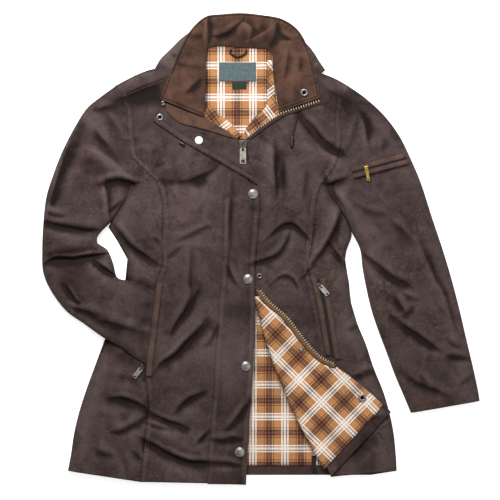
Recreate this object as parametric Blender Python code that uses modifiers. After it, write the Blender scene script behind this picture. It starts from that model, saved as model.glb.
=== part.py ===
"""A waxed cotton jacket lying open on its back, collar at +Y, front up (+Z).

Every cloth piece is a thin wall laid between two seam curves. The seam curves
are short tables of plan points (x, y), and the height of the cloth comes from
one pillow shape plus a table of folds, so pieces that meet share their edges.
"""
import math

import bpy
import numpy as np
from mathutils import Matrix, Vector
from mathutils.bvhtree import BVHTree

# Sheet thicknesses and gaps, metres
CLOTH = 0.0018
LINING = 0.0012
BACK = 0.0016
SEAM = 0.0006
ARMHOLE_GAP = 0.0014
LIE = 0.0008

# Lie of the body
EDGE_Z = 0.0034
EDGE_REACH = 0.030
SLEEVE_REACH = 0.030
ROWS_PER_SPAN = 2

# Hard pieces
SNAP_RADIUS = 0.0100
SNAP_HEIGHT = 0.0032
PULL_LENGTH = 0.032
PULL_WIDTH = 0.0125
CORD_RADIUS = 0.0018

for item in list(bpy.data.objects):
    bpy.data.objects.remove(item, do_unlink=True)

jacket = bpy.data.collections.new("wax_jacket")
cutters = bpy.data.collections.new("cutters")
bpy.context.scene.collection.children.link(jacket)
bpy.context.scene.collection.children.link(cutters)


def material(name, colour, roughness, metallic=0.0):
    """One Principled material."""
    made = bpy.data.materials.new(name)
    made.use_nodes = True
    shader = made.node_tree.nodes["Principled BSDF"]
    shader.inputs["Base Color"].default_value = (*colour, 1.0)
    shader.inputs["Roughness"].default_value = roughness
    shader.inputs["Metallic"].default_value = metallic
    return made


WAX = material("waxed_cotton", (0.060, 0.042, 0.041), 0.55)
HOOD = material("waxed_cotton_hood", (0.115, 0.080, 0.078), 0.6)
BRUSHED = material("brushed_collar", (0.095, 0.045, 0.032), 0.9)
WELT = material("corded_welt", (0.075, 0.040, 0.033), 0.85)
PLAID = material("check_lining", (0.55, 0.34, 0.16), 0.85)
LABEL = material("woven_label", (0.36, 0.40, 0.42), 0.8)
TAB = material("size_tab", (0.03, 0.05, 0.05), 0.8)
TAPE = material("zip_tape", (0.120, 0.066, 0.045), 0.8)
METAL = material("pewter", (0.62, 0.61, 0.58), 0.35, 1.0)
BRASS = material("brass", (0.72, 0.52, 0.22), 0.3, 1.0)
DARK = material("dark_plastic", (0.03, 0.028, 0.028), 0.4)
CORD = material("drawcord", (0.045, 0.035, 0.033), 0.85)

# Seam curves in plan, from the top down: x, y
ARMHOLE_R = [(-0.278, 0.306), (-0.268, 0.266), (-0.266, 0.226), (-0.260, 0.184)]
PRINCESS_R = [
    (-0.260, 0.184), (-0.230, 0.156), (-0.206, 0.130), (-0.198, 0.094), (-0.196, 0.054),
    (-0.198, 0.008), (-0.198, -0.030), (-0.210, -0.072), (-0.216, -0.122), (-0.222, -0.172),
    (-0.228, -0.218), (-0.230, -0.258), (-0.226, -0.302), (-0.228, -0.346), (-0.232, -0.388),
    (-0.238, -0.434), (-0.242, -0.466)]
SIDE_R = [
    (-0.260, 0.170), (-0.258, 0.152), (-0.256, 0.132), (-0.272, 0.100), (-0.302, 0.052),
    (-0.286, 0.016), (-0.268, -0.020), (-0.272, -0.060), (-0.288, -0.108), (-0.302, -0.152),
    (-0.318, -0.194), (-0.332, -0.232), (-0.346, -0.270), (-0.362, -0.318), (-0.374, -0.366),
    (-0.381, -0.412), (-0.387, -0.444)]
NECK_R = [(-0.166, 0.352), (-0.146, 0.314), (-0.112, 0.262), (-0.046, 0.220)]
CENTRE_R = [
    (-0.046, 0.220), (-0.032, 0.182), (-0.026, 0.142), (-0.024, 0.102), (-0.024, 0.058),
    (-0.024, 0.012), (-0.026, -0.028), (-0.028, -0.072), (-0.030, -0.122), (-0.032, -0.172),
    (-0.034, -0.218), (-0.036, -0.262), (-0.038, -0.306), (-0.040, -0.350), (-0.042, -0.394),
    (-0.044, -0.436), (-0.046, -0.470)]
ARMHOLE_L = [(0.164, 0.304), (0.158, 0.262), (0.160, 0.218), (0.150, 0.170)]
PRINCESS_L = [
    (0.150, 0.170), (0.134, 0.146), (0.118, 0.122), (0.110, 0.094), (0.106, 0.058),
    (0.102, 0.022), (0.098, -0.010), (0.094, -0.038), (0.102, -0.070), (0.112, -0.114),
    (0.120, -0.162), (0.128, -0.210), (0.136, -0.258), (0.142, -0.310), (0.148, -0.362),
    (0.154, -0.410), (0.158, -0.454)]
SIDE_L = [
    (0.148, 0.158), (0.142, 0.143), (0.137, 0.130), (0.152, 0.094), (0.172, 0.058),
    (0.182, 0.030), (0.172, -0.002), (0.168, -0.026), (0.176, -0.064), (0.180, -0.104),
    (0.192, -0.146), (0.210, -0.190), (0.226, -0.238), (0.248, -0.294), (0.264, -0.358),
    (0.270, -0.410), (0.272, -0.444)]
NECK_L = [(0.094, 0.339), (0.074, 0.314), (0.034, 0.268), (-0.032, 0.220)]
CENTRE_L = [
    (-0.032, 0.220), (-0.025, 0.182), (-0.019, 0.142), (-0.017, 0.102), (-0.017, 0.058),
    (-0.017, 0.012), (-0.019, -0.028), (-0.018, -0.066), (-0.006, -0.112), (0.008, -0.166),
    (0.028, -0.226), (0.050, -0.282), (0.074, -0.334), (0.096, -0.378), (0.114, -0.410),
    (0.130, -0.438), (0.140, -0.456)]

# Outline of the sleeves above the armpits, where body and sleeve lie as one: y, left x, right x
UPPER_OUTLINE = [
    (0.148, -0.300, 0.185), (0.180, -0.398, 0.286), (0.238, -0.376, 0.272), (0.278, -0.352, 0.236),
    (0.298, -0.332, 0.214), (0.318, -0.308, 0.190), (0.338, -0.278, 0.156), (0.356, -0.232, 0.132),
    (0.380, -0.200, 0.110)]

# Height of the laid fronts: y, top of the cloth
CROWN = [
    (-0.480, 0.0125), (-0.440, 0.0132), (-0.360, 0.0150), (-0.290, 0.0165), (-0.200, 0.0180),
    (-0.100, 0.0180), (0.000, 0.0170), (0.100, 0.0180), (0.180, 0.0175), (0.240, 0.0150),
    (0.290, 0.0130), (0.340, 0.0122), (0.380, 0.0115)]

# Largest folds of the fronts: from x, y, to x, y, half width, height
FRONT_FOLDS = [
    (-0.190, 0.136, -0.124, 0.134, 0.016, -0.0040),
    (-0.124, 0.134, -0.096, 0.166, 0.014, -0.0035),
    (-0.288, 0.018, -0.216, -0.026, 0.016, -0.0050),
    (-0.140, 0.040, -0.100, 0.058, 0.018, -0.0030),
    (-0.130, -0.080, -0.172, -0.158, 0.022, -0.0030),
    (-0.104, -0.158, -0.186, -0.230, 0.018, -0.0055),
    (-0.300, -0.300, -0.232, -0.312, 0.018, -0.0040),
    (-0.226, -0.330, -0.154, -0.354, 0.016, -0.0040),
    (-0.222, -0.390, -0.116, -0.430, 0.018, -0.0030),
    (-0.160, -0.320, -0.122, -0.288, 0.018, -0.0035),
    (0.014, 0.190, 0.014, 0.040, 0.016, 0.0040),
    (0.036, 0.176, 0.038, 0.130, 0.016, -0.0030),
    (0.024, 0.036, 0.060, 0.052, 0.016, -0.0035),
    (0.060, 0.052, 0.088, 0.026, 0.016, -0.0035),
    (0.004, -0.020, 0.050, 0.022, 0.016, -0.0035),
    (0.152, 0.078, 0.094, -0.030, 0.018, 0.0055),
    (0.140, 0.010, 0.162, -0.030, 0.016, -0.0040),
    (0.088, 0.264, 0.156, 0.196, 0.018, -0.0040),
    (-0.026, -0.130, -0.046, -0.480, 0.040, -0.0050),
    (0.080, -0.160, 0.190, -0.330, 0.055, -0.0050),
    (0.100, -0.300, 0.180, -0.420, 0.050, -0.0030),
]

# Where the tucked forearm weighs the side panel down and fills the pocket
PRESS = (-0.270, -0.140, -0.205, -0.150)
PRESS_WIDTH = 0.080
PRESS_DEPTH = 0.0098
POCKET_FILL = (-0.196, -0.100, -0.204, -0.200, 0.045, 0.0030)


def through(table, per_span=ROWS_PER_SPAN):
    """Points on a smooth curve through a table, per_span of them in each span."""
    knots = np.array(table, dtype=float)
    first = 2 * knots[0] - knots[1]
    last = 2 * knots[-1] - knots[-2]
    padded = np.vstack([first, knots, last])
    share = np.arange(per_span)[:, None] / per_span
    spans = []
    for k in range(len(knots) - 1):
        a, b, c, d = padded[k:k + 4]
        bend = (2 * a - 5 * b + 4 * c - d) * share ** 2 + (3 * b - a - 3 * c + d) * share ** 3
        spans.append(b + 0.5 * ((c - a) * share + bend))
    return np.vstack(spans + [knots[-1:]])


def join(*curves):
    """One curve after another, the shared end point kept once."""
    return np.vstack([curves[0]] + [curve[1:] for curve in curves[1:]])


def edge_rise(distance, reach):
    """Quarter round from 0 at the edge to 1 at reach."""
    inward = np.clip(distance / reach, 0.0, 1.0)
    return np.sqrt(np.clip(1.0 - (1.0 - inward) ** 2, 0.0, 1.0))


def fold(x, y, x0, y0, x1, y1, width, height):
    """A soft ridge (or trough) along the line from x0, y0 to x1, y1."""
    along_x = x1 - x0
    along_y = y1 - y0
    share = ((x - x0) * along_x + (y - y0) * along_y) / (along_x ** 2 + along_y ** 2)
    share = np.clip(share, 0.0, 1.0)
    away = (x - x0 - share * along_x) ** 2 + (y - y0 - share * along_y) ** 2
    return height * np.exp(-away / width ** 2)


UPPER = np.array(UPPER_OUTLINE)
LEFT_EDGE = np.vstack([UPPER[::-1, [1, 0]], through(SIDE_R[2:])])[::-1]
RIGHT_EDGE = np.vstack([UPPER[::-1, [2, 0]], through(SIDE_L[2:])])[::-1]
CROWN_ROWS = np.array(CROWN)


def front_top(x, y):
    """Top of the laid fronts: a pillow rounded at the side edges, plus the folds."""
    left = np.interp(y, LEFT_EDGE[:, 1], LEFT_EDGE[:, 0])
    right = np.interp(y, RIGHT_EDGE[:, 1], RIGHT_EDGE[:, 0])
    rise = edge_rise(np.minimum(x - left, right - x), EDGE_REACH)
    crown = np.interp(y, CROWN_ROWS[:, 0], CROWN_ROWS[:, 1])
    height = crown - EDGE_Z
    for row in FRONT_FOLDS:
        height = height + fold(x, y, *row)
    height = height + fold(x, y, *POCKET_FILL)
    return EDGE_Z + np.maximum(height, 0.0) * rise


def side_top(x, y):
    """The side panel of the right front, weighed down where the forearm lies on it."""
    press = np.minimum(fold(x, y, *PRESS, PRESS_WIDTH, 1.6 * PRESS_DEPTH), PRESS_DEPTH)
    pressed = front_top(x, y) - press - fold(x, y, *POCKET_FILL)
    return np.maximum(pressed, EDGE_Z)


def place(name, data, finish, group=None):
    """Put a mesh or curve in the part's collection."""
    made = bpy.data.objects.new(name, data)
    made.data.materials.append(finish)
    (group or jacket).objects.link(made)
    return made


def grid_mesh(name, points, around=False):
    """Quads over a grid of points; around closes each row on itself."""
    rows, columns = points.shape[:2]
    index = np.arange(rows * columns).reshape(rows, columns)
    right = np.roll(index, -1, axis=1)
    last = columns if around else columns - 1
    a = index[:-1, :last]
    b = index[1:, :last]
    c = right[1:, :last]
    d = right[:-1, :last]
    faces = np.stack([a, b, c, d], axis=-1).reshape(-1, 4)
    mesh = bpy.data.meshes.new(name)
    mesh.from_pydata(points.reshape(-1, 3).tolist(), [], faces.tolist())
    return mesh


def wall(made, thickness):
    """Give an open surface its cloth thickness, inward from the outside."""
    solid = made.modifiers.new("cloth", "SOLIDIFY")
    solid.thickness = thickness
    solid.offset = -1.0
    return made


def between(left, right, columns, inset=SEAM / 2):
    """Plan points from left to right across each row, held back from both seams."""
    across = right - left
    width = np.linalg.norm(across, axis=1)[:, None, None]
    share = np.asarray(columns)[None, :, None]
    share = inset / width + share * (1.0 - 2.0 * inset / width)
    return left[:, None, :] + share * across[:, None, :]


def panel(name, left, right, columns, top, finish, thickness=CLOTH, lift=0.0, inset=SEAM / 2):
    """A cloth wall between two seam curves at the height that top gives."""
    plan = between(left, right, columns, inset)
    height = top(plan[..., 0], plan[..., 1]) + lift
    points = np.concatenate([plan, height[..., None]], axis=-1)
    return wall(place(name, grid_mesh(name, points), finish), thickness)


def even(count):
    """count equal steps across."""
    return np.linspace(0.0, 1.0, count + 1)


def close_to_left(count):
    """Steps that crowd towards the left edge."""
    return np.linspace(0.0, 1.0, count + 1) ** 1.7


def close_to_right(count):
    """Steps that crowd towards the right edge."""
    return 1.0 - np.linspace(1.0, 0.0, count + 1) ** 1.7


# The back, flat on the surface below: left x, right x, y
BACK_ROWS = [
    (-0.106, 0.022, 0.400), (-0.138, 0.082, 0.368), (-0.166, 0.112, 0.346), (-0.176, 0.134, 0.334),
    (-0.274, 0.160, 0.316), (-0.271, 0.160, 0.296), (-0.265, 0.156, 0.266), (-0.265, 0.157, 0.226),
    (-0.259, 0.151, 0.184), (-0.257, 0.141, 0.154), (-0.256, 0.136, 0.130), (-0.277, 0.150, 0.104),
    (-0.290, 0.164, 0.076), (-0.306, 0.179, 0.044), (-0.288, 0.174, 0.016), (-0.268, 0.169, -0.020),
    (-0.272, 0.175, -0.060), (-0.288, 0.181, -0.108), (-0.302, 0.194, -0.152), (-0.332, 0.224, -0.232),
    (-0.362, 0.254, -0.318), (-0.381, 0.270, -0.412), (-0.386, 0.271, -0.445),
    (-0.300, 0.220, -0.453)]


def flat(height):
    """A level surface."""
    return lambda x, y: np.full_like(x, height)


back_rows = np.array(BACK_ROWS)
panel("back", back_rows[:, [0, 2]], back_rows[:, [1, 2]], even(2), flat(BACK), WAX, BACK)

# The lining of the back, seen at the neck and at the open hem: left x, right x, y
BACK_LINING_ROWS = [
    (-0.108, 0.022, 0.400), (-0.128, 0.074, 0.360), (-0.150, 0.110, 0.320), (-0.240, 0.140, 0.240),
    (-0.236, 0.116, 0.140), (-0.244, 0.146, 0.000), (-0.276, 0.176, -0.150), (-0.326, 0.226, -0.300),
    (-0.356, 0.252, -0.434)]
lining_rows = np.array(BACK_LINING_ROWS)
panel("back_lining", lining_rows[:, [0, 2]], lining_rows[:, [1, 2]], even(6),
      flat(BACK + 0.0003 + LINING), PLAID, LINING)

# The fronts
armhole_r = through(ARMHOLE_R)
princess_r = through(PRINCESS_R)
side_r = through(SIDE_R)
neck_r = through(NECK_R)
centre_r = through(CENTRE_R)
armhole_l = through(ARMHOLE_L)
princess_l = through(PRINCESS_L)
side_l = through(SIDE_L)
neck_l = through(NECK_L)
centre_l = through(CENTRE_L)

panel("front_right_centre", join(armhole_r, princess_r), join(neck_r, centre_r), even(9),
      front_top, WAX)
panel("front_right_side", side_r, princess_r, close_to_left(6), side_top, WAX)
panel("front_left_centre", join(neck_l, centre_l), join(armhole_l, princess_l), even(8),
      front_top, WAX)
panel("front_left_side", princess_l, side_l, close_to_right(6), front_top, WAX)

# Shoulder strips of the back that wrap to the front: edge x, y, seam x, y
SHOULDER_R = [(-0.292, 0.326, -0.278, 0.306), (-0.242, 0.346, -0.233, 0.3245), (-0.202, 0.354, -0.188, 0.343)]
SHOULDER_L = [(0.120, 0.350, 0.116, 0.328), (0.150, 0.340, 0.140, 0.316), (0.176, 0.326, 0.164, 0.304)]


def rows_panel(name, table, columns, top, finish, thickness=CLOTH, lift=0.0, inset=SEAM / 2):
    """A piece from a table whose rows hold one edge and the other: x, y, x, y."""
    rows = np.array(table)
    return panel(name, through(rows[:, :2]), through(rows[:, 2:4]), columns, top, finish, thickness,
                 lift, inset)


rows_panel("shoulder_right", [row[2:] + row[:2] for row in SHOULDER_R], even(4), front_top, WAX,
           inset=SEAM)
rows_panel("shoulder_left", [row[2:] + row[:2] for row in SHOULDER_L], even(4), front_top, WAX,
           inset=SEAM)

# Sleeves as flattened tubes: outer x, y, inner x, y, underside, top
SLEEVE_R = [
    (-0.292, 0.326, -0.258, 0.132, 0.0000, 0.018),
    (-0.322, 0.304, -0.270, 0.108, 0.0000, 0.021),
    (-0.350, 0.280, -0.287, 0.081, 0.0000, 0.024),
    (-0.376, 0.238, -0.304, 0.056, 0.0000, 0.026),
    (-0.398, 0.194, -0.317, 0.037, 0.0000, 0.027),
    (-0.416, 0.148, -0.326, 0.026, 0.0000, 0.027),
    (-0.430, 0.102, -0.328, 0.020, 0.0000, 0.026),
    (-0.436, 0.048, -0.328, 0.015, 0.0000, 0.025),
    (-0.438, -0.002, -0.326, 0.011, 0.0000, 0.025),
    (-0.436, -0.046, -0.318, 0.006, 0.0000, 0.025),
    (-0.420, -0.084, -0.306, -0.004, 0.0000, 0.024),
    (-0.390, -0.124, -0.296, -0.028, 0.0000, 0.022),
    (-0.354, -0.150, -0.288, -0.056, 0.0010, 0.021),
    (-0.314, -0.178, -0.268, -0.063, 0.0085, 0.0215),
    (-0.278, -0.198, -0.246, -0.066, 0.0100, 0.0200),
    (-0.242, -0.222, -0.218, -0.082, 0.0116, 0.0180),
    (-0.204, -0.240, -0.182, -0.100, 0.0104, 0.0160)]
SLEEVE_L = [
    (0.176, 0.326, 0.139, 0.130, 0.0000, 0.018),
    (0.210, 0.302, 0.149, 0.108, 0.0000, 0.021),
    (0.246, 0.268, 0.161, 0.084, 0.0000, 0.024),
    (0.276, 0.228, 0.174, 0.060, 0.0000, 0.026),
    (0.298, 0.184, 0.185, 0.032, 0.0000, 0.027),
    (0.320, 0.132, 0.198, 0.000, 0.0000, 0.027),
    (0.342, 0.064, 0.203, -0.038, 0.0000, 0.026),
    (0.364, -0.002, 0.211, -0.080, 0.0000, 0.025),
    (0.382, -0.062, 0.221, -0.122, 0.0000, 0.024),
    (0.398, -0.124, 0.235, -0.164, 0.0000, 0.023),
    (0.412, -0.184, 0.251, -0.206, 0.0000, 0.022),
    (0.424, -0.234, 0.268, -0.252, 0.0000, 0.020),
    (0.434, -0.280, 0.286, -0.294, 0.0000, 0.018),
    (0.438, -0.304, 0.300, -0.328, 0.0000, 0.016)]
SHOULDER_POINT_R = (-0.292, 0.326)
SHOULDER_POINT_L = (0.176, 0.326)

# Largest folds of the sleeves: from x, y, to x, y, half width, height
SLEEVE_FOLDS = [
    (-0.358, 0.240, -0.420, 0.100, 0.016, -0.0050),
    (-0.426, 0.050, -0.338, 0.034, 0.014, -0.0060),
    (-0.418, -0.020, -0.318, -0.004, 0.014, -0.0080),
    (-0.390, -0.078, -0.366, -0.108, 0.016, -0.0050),
    (-0.334, 0.194, -0.262, 0.140, 0.018, 0.0040),
    (-0.366, -0.130, -0.312, -0.146, 0.014, -0.0050),
    (-0.326, -0.030, -0.296, -0.050, 0.012, -0.0050),
    (0.204, 0.266, 0.218, 0.236, 0.016, -0.0045),
    (0.204, -0.010, 0.280, -0.068, 0.016, -0.0060),
    (0.256, -0.100, 0.284, -0.128, 0.016, -0.0050),
    (0.262, -0.140, 0.340, -0.192, 0.016, -0.0060),
    (0.280, -0.246, 0.370, -0.296, 0.016, -0.0045),
    (0.338, -0.020, 0.384, -0.136, 0.018, -0.0040),
    (0.382, -0.218, 0.420, -0.218, 0.014, -0.0040),
]
TOP_STEPS = 12
UNDER_SHARES = (0.95, 0.80, 0.50, 0.20, 0.05)


def round_ring(share, width, low, high, reach):
    """Heights over and under a flattened tube: level below, rounded at both edges."""
    middle = low + 0.36 * (high - low)
    distance = np.minimum(share, 1.0 - share) * width
    over = middle + (high - middle) * edge_rise(distance, reach)
    under = middle - (middle - low) * edge_rise(distance, 0.4 * reach)
    return over, under


def sleeve(name, table, armhole, sign):
    """A flattened tube from the armhole to the cuff."""
    rows = through(table)
    rows[:, 4] = np.maximum(rows[:, 4], 0.0)
    count = len(rows)
    share = (1.0 - np.cos(np.linspace(0.0, math.pi, TOP_STEPS + 1))) / 2.0
    below = np.array(UNDER_SHARES)
    length = np.concatenate([[0.0], np.cumsum(np.linalg.norm(np.diff(armhole, axis=0), axis=1))])
    length = length / length[-1]
    rings = []
    for k in range(count):
        outer = rows[k, :2]
        inner = rows[k, 2:4]
        width = np.linalg.norm(inner - outer)
        fade = np.clip(1.0 - k / (2.0 * ROWS_PER_SPAN), 0.0, 1.0)
        fade = fade * fade * (3.0 - 2.0 * fade)
        ring = []
        for steps, upper in ((share, True), (below, False)):
            plan = outer + steps[:, None] * (inner - outer)
            seam = np.stack([np.interp(steps, length, armhole[:, axis]) for axis in (0, 1)], axis=1)
            start = rows[0, :2] + steps[:, None] * (rows[0, 2:4] - rows[0, :2])
            plan = plan + fade * (seam - start) + np.array([sign * ARMHOLE_GAP, 0.0]) * fade
            over, under = round_ring(steps, width, rows[k, 4], rows[k, 5], SLEEVE_REACH)
            if upper:
                rise = edge_rise(np.minimum(steps, 1.0 - steps) * width, SLEEVE_REACH)
                for row in SLEEVE_FOLDS:
                    over = over + rise * fold(plan[:, 0], plan[:, 1], *row)
                over = (1.0 - fade) * over + fade * front_top(plan[:, 0], plan[:, 1])
                over = np.maximum(over, rows[k, 4] + 0.0045)
                height = over
            else:
                height = under
            ring.append(np.concatenate([plan, height[:, None]], axis=1))
        rings.append(np.concatenate(ring))
    points = np.stack(rings)
    if sign > 0:
        points = points[:, ::-1]
    return wall(place(name, grid_mesh(name, points, around=True), WAX), CLOTH)


start_r = np.array([SHOULDER_POINT_R, ARMHOLE_R[0]])
start_l = np.array([SHOULDER_POINT_L, ARMHOLE_L[0]])
sleeve("sleeve_right", SLEEVE_R, join(start_r, armhole_r, side_r[:5]), -1.0)
sleeve("sleeve_left", SLEEVE_L, join(start_l, armhole_l, side_l[:5]), 1.0)

# Hood folded up under the collar, one rounded solid: outer x, y, inner x, y, top
HOOD_ROWS = [
    (-0.213, 0.361, -0.194, 0.347, 0.0070), (-0.202, 0.380, -0.168, 0.356, 0.0110),
    (-0.182, 0.400, -0.146, 0.378, 0.0118), (-0.150, 0.430, -0.118, 0.406, 0.0100),
    (-0.098, 0.460, -0.090, 0.424, 0.0086), (-0.042, 0.466, -0.042, 0.426, 0.0086),
    (0.014, 0.460, 0.004, 0.424, 0.0086), (0.058, 0.440, 0.026, 0.408, 0.0100),
    (0.091, 0.412, 0.056, 0.388, 0.0118), (0.106, 0.394, 0.081, 0.373, 0.0115),
    (0.113, 0.376, 0.099, 0.360, 0.0105), (0.124, 0.358, 0.1145, 0.350, 0.0070)]
HOOD_REACH = 0.012


def rounded_solid(name, table, reach, finish):
    """A filled, rounded length of folded cloth, level below, closed at both ends."""
    rows = through(table)
    share = (1.0 - np.cos(np.linspace(0.0, math.pi, 9))) / 2.0
    below = np.array([0.9, 0.1])
    rings = []
    for row in rows:
        outer = row[:2]
        inner = row[2:4]
        width = np.linalg.norm(inner - outer)
        over, _ = round_ring(share, width, 0.0, row[4], reach)
        top = np.column_stack([outer + share[:, None] * (inner - outer), over])
        under = np.column_stack([outer + below[:, None] * (inner - outer), np.zeros(2)])
        rings.append(np.concatenate([top, under]))
    points = np.stack(rings)[:, ::-1]
    mesh = grid_mesh(name, points, around=True)
    count, around = points.shape[:2]
    faces = [tuple(face.vertices) for face in mesh.polygons]
    faces.append(tuple(range(around)))
    faces.append(tuple(reversed(range((count - 1) * around, count * around))))
    corners = [tuple(vertex.co) for vertex in mesh.vertices]
    closed = bpy.data.meshes.new(name)
    closed.from_pydata(corners, [], faces)
    return place(name, closed, finish)


rounded_solid("hood", HOOD_ROWS, HOOD_REACH, HOOD)

# Collar, its brushed inner face up: neck seam x, y, z, outer edge x, y, z
COLLAR = [
    (-0.114, 0.264, 0.0175, -0.202, 0.300, 0.0170), (-0.112, 0.298, 0.0180, -0.190, 0.330, 0.0180),
    (-0.110, 0.338, 0.0170, -0.176, 0.364, 0.0180), (-0.110, 0.374, 0.0120, -0.160, 0.402, 0.0160),
    (-0.108, 0.396, 0.0070, -0.142, 0.436, 0.0140), (-0.100, 0.405, 0.0052, -0.112, 0.464, 0.0130),
    (-0.072, 0.406, 0.0050, -0.074, 0.470, 0.0120), (-0.042, 0.404, 0.0050, -0.038, 0.472, 0.0120),
    (-0.010, 0.402, 0.0050, 0.002, 0.468, 0.0120), (0.014, 0.400, 0.0052, 0.042, 0.460, 0.0130),
    (0.022, 0.390, 0.0080, 0.074, 0.438, 0.0140), (0.024, 0.362, 0.0130, 0.094, 0.402, 0.0160),
    (0.028, 0.330, 0.0170, 0.106, 0.362, 0.0180), (0.032, 0.298, 0.0180, 0.114, 0.326, 0.0180),
    (0.036, 0.274, 0.0175, 0.118, 0.302, 0.0170)]
COLLAR_SWELL = 0.0022
COLLAR_STEPS = 6


def collar():
    """The collar rises quickly from its neck seam and swells between its edges."""
    rows = through(COLLAR)
    share = np.linspace(0.0, 1.0, COLLAR_STEPS + 1)[None, :, None]
    plan = rows[:, None, 0:2] + share * (rows[:, None, 3:5] - rows[:, None, 0:2])
    rise = 1.0 - (1.0 - share) ** 2.2
    height = rows[:, None, 2:3] + rise * (rows[:, None, 5:6] - rows[:, None, 2:3])
    height = height + COLLAR_SWELL * 4.0 * share * (1.0 - share)
    points = np.concatenate([plan, height], axis=-1)
    return wall(place("collar", grid_mesh("collar", points), BRUSHED), CLOTH)


collar()

# Pieces lying on the fronts: left or upper edge x, y, then right or lower edge x, y
GUARD = [
    (-0.190, 0.291, -0.188, 0.274), (-0.162, 0.280, -0.164, 0.253), (-0.132, 0.268, -0.128, 0.243),
    (-0.108, 0.259, -0.096, 0.234), (-0.074, 0.240, -0.068, 0.225), (-0.054, 0.226, -0.050, 0.221)]
PLACKET = [
    (-0.068, 0.156, -0.006, 0.123), (-0.071, 0.128, -0.003, 0.108), (-0.074, 0.092, -0.004, 0.072),
    (-0.076, 0.018, -0.008, 0.014), (-0.079, -0.054, -0.012, -0.054), (-0.084, -0.122, -0.012, -0.126),
    (-0.090, -0.202, -0.014, -0.202), (-0.094, -0.282, -0.018, -0.274), (-0.100, -0.352, -0.024, -0.352),
    (-0.105, -0.422, -0.028, -0.426), (-0.107, -0.470, -0.030, -0.472)]
PLACKET_TURN = [
    (-0.202, 0.290, -0.216, 0.256), (-0.182, 0.264, -0.192, 0.240), (-0.160, 0.249, -0.166, 0.222),
    (-0.126, 0.239, -0.136, 0.204), (-0.094, 0.230, -0.102, 0.184), (-0.066, 0.221, -0.070, 0.166),
    (-0.042, 0.198, -0.040, 0.149), (-0.026, 0.172, -0.022, 0.138), (-0.008, 0.138, -0.008, 0.129)]
TAPE_TOP = [
    (0.118, 0.297, 0.120, 0.290), (0.078, 0.284, 0.080, 0.277), (0.040, 0.271, 0.044, 0.264),
    (0.004, 0.248, 0.009, 0.241), (-0.027, 0.224, -0.022, 0.218)]


def lying(name, table, columns, finish, thickness=CLOTH, top=front_top, flip=False):
    """A strip lying on the fronts: their points moved out by its own thickness."""
    rows = [row[2:] + row[:2] for row in table] if flip else table
    return rows_panel(name, rows, columns, top, finish, thickness, LIE + thickness)


lying("collar_guard", GUARD, even(3), BRUSHED, flip=True)
lying("placket", PLACKET, even(5), WAX)
lying("placket_turn", PLACKET_TURN, even(4), WAX, flip=True)
lying("zip_tape_top", TAPE_TOP, even(1), TAPE, LINING)
panel("zip_closed", centre_r[:15], centre_l[:15], even(1), front_top, TAPE, LINING, -0.0004, 0.0006)

# Front linings that show inside the neck: lower or right edge x, y, inner edge x, y
NECK_LINING_R = [
    (-0.1205, 0.2720, -0.100, 0.290), (-0.1130, 0.2605, -0.090, 0.274), (-0.0960, 0.2480, -0.070, 0.260),
    (-0.0700, 0.2325, -0.050, 0.241), (-0.0500, 0.2205, -0.040, 0.228)]
NECK_LINING_L = [
    (0.012, 0.378, 0.022, 0.378), (0.012, 0.334, 0.026, 0.334), (0.012, 0.296, 0.030, 0.292),
    (0.006, 0.280, 0.035, 0.2665), (-0.016, 0.260, 0.003, 0.2440), (-0.033, 0.236, -0.026, 0.2225)]
LINING_LOW = 0.0060


def neck_lining(name, table, high_side):
    """A strip of lining sloping down from below the front's edge into the neck."""
    rows = through(table)
    share = np.linspace(0.0, 1.0, 3)[None, :, None]
    plan = rows[:, None, 0:2] + share * (rows[:, None, 2:4] - rows[:, None, 0:2])
    edge = rows[:, 2 * high_side:2 * high_side + 2]
    high = front_top(edge[:, 0], edge[:, 1])[:, None, None] - CLOTH - 0.0006
    fall = share if high_side == 0 else 1.0 - share
    height = high + fall * (LINING_LOW - high)
    points = np.concatenate([plan, height], axis=-1)
    return wall(place(name, grid_mesh(name, points), PLAID), LINING)


neck_lining("front_right_lining", NECK_LINING_R, 0)
neck_lining("front_left_lining", NECK_LINING_L, 1)

# Turned-back lower corner of the left front: fold x, y, free edge x, y
TURN = [
    (-0.013, -0.074, -0.007, -0.076), (-0.004, -0.110, 0.014, -0.104), (0.008, -0.158, 0.052, -0.138),
    (0.028, -0.222, 0.086, -0.182), (0.050, -0.278, 0.118, -0.216), (0.072, -0.328, 0.152, -0.234),
    (0.094, -0.372, 0.190, -0.262), (0.116, -0.412, 0.226, -0.292), (0.130, -0.436, 0.246, -0.311),
    (0.140, -0.454, 0.260, -0.326)]
TURN_FLOOR = 0.0115
TURN_LIE = 0.0016
ROLL_HEIGHT = 0.0040
ROLL_REACH = 0.018
LIP = 0.0060
TAPE_WIDTH = 0.0080
ZIP_ROWS = 11


def turn_grid(rows, reach, lift):
    """Points over the turned corner, each a given distance past the fold line of its row."""
    fold_line = rows[:, None, 0:2]
    across = rows[:, None, 2:4] - fold_line
    across = across / np.linalg.norm(across, axis=2, keepdims=True)
    reach = reach[..., None]
    past = np.maximum(reach, 0.0)
    rest = fold_line + across * past
    base = np.maximum(front_top(rest[..., 0], rest[..., 1]), TURN_FLOOR)[..., None]
    roll = ROLL_HEIGHT * np.exp(-(past / ROLL_REACH) ** 2)
    drop = 0.9 * LIP * (np.minimum(reach, 0.0) / LIP) ** 2
    height = base + TURN_LIE + CLOTH + roll - drop + lift
    return np.concatenate([fold_line + across * reach, height], axis=-1)


turn_rows = through(TURN)
turn_width = np.linalg.norm(turn_rows[:, 2:4] - turn_rows[:, 0:2], axis=1)[:, None]
turn_count = len(turn_rows)
turn_reach = 0.0008 + (turn_width - 0.0008) * np.linspace(0.0, 1.0, 8)[None, :] ** 1.5
turn_points = turn_grid(turn_rows, turn_reach, 0.0)
wall(place("front_left_turn", grid_mesh("front_left_turn", turn_points), WAX), CLOTH)

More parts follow.
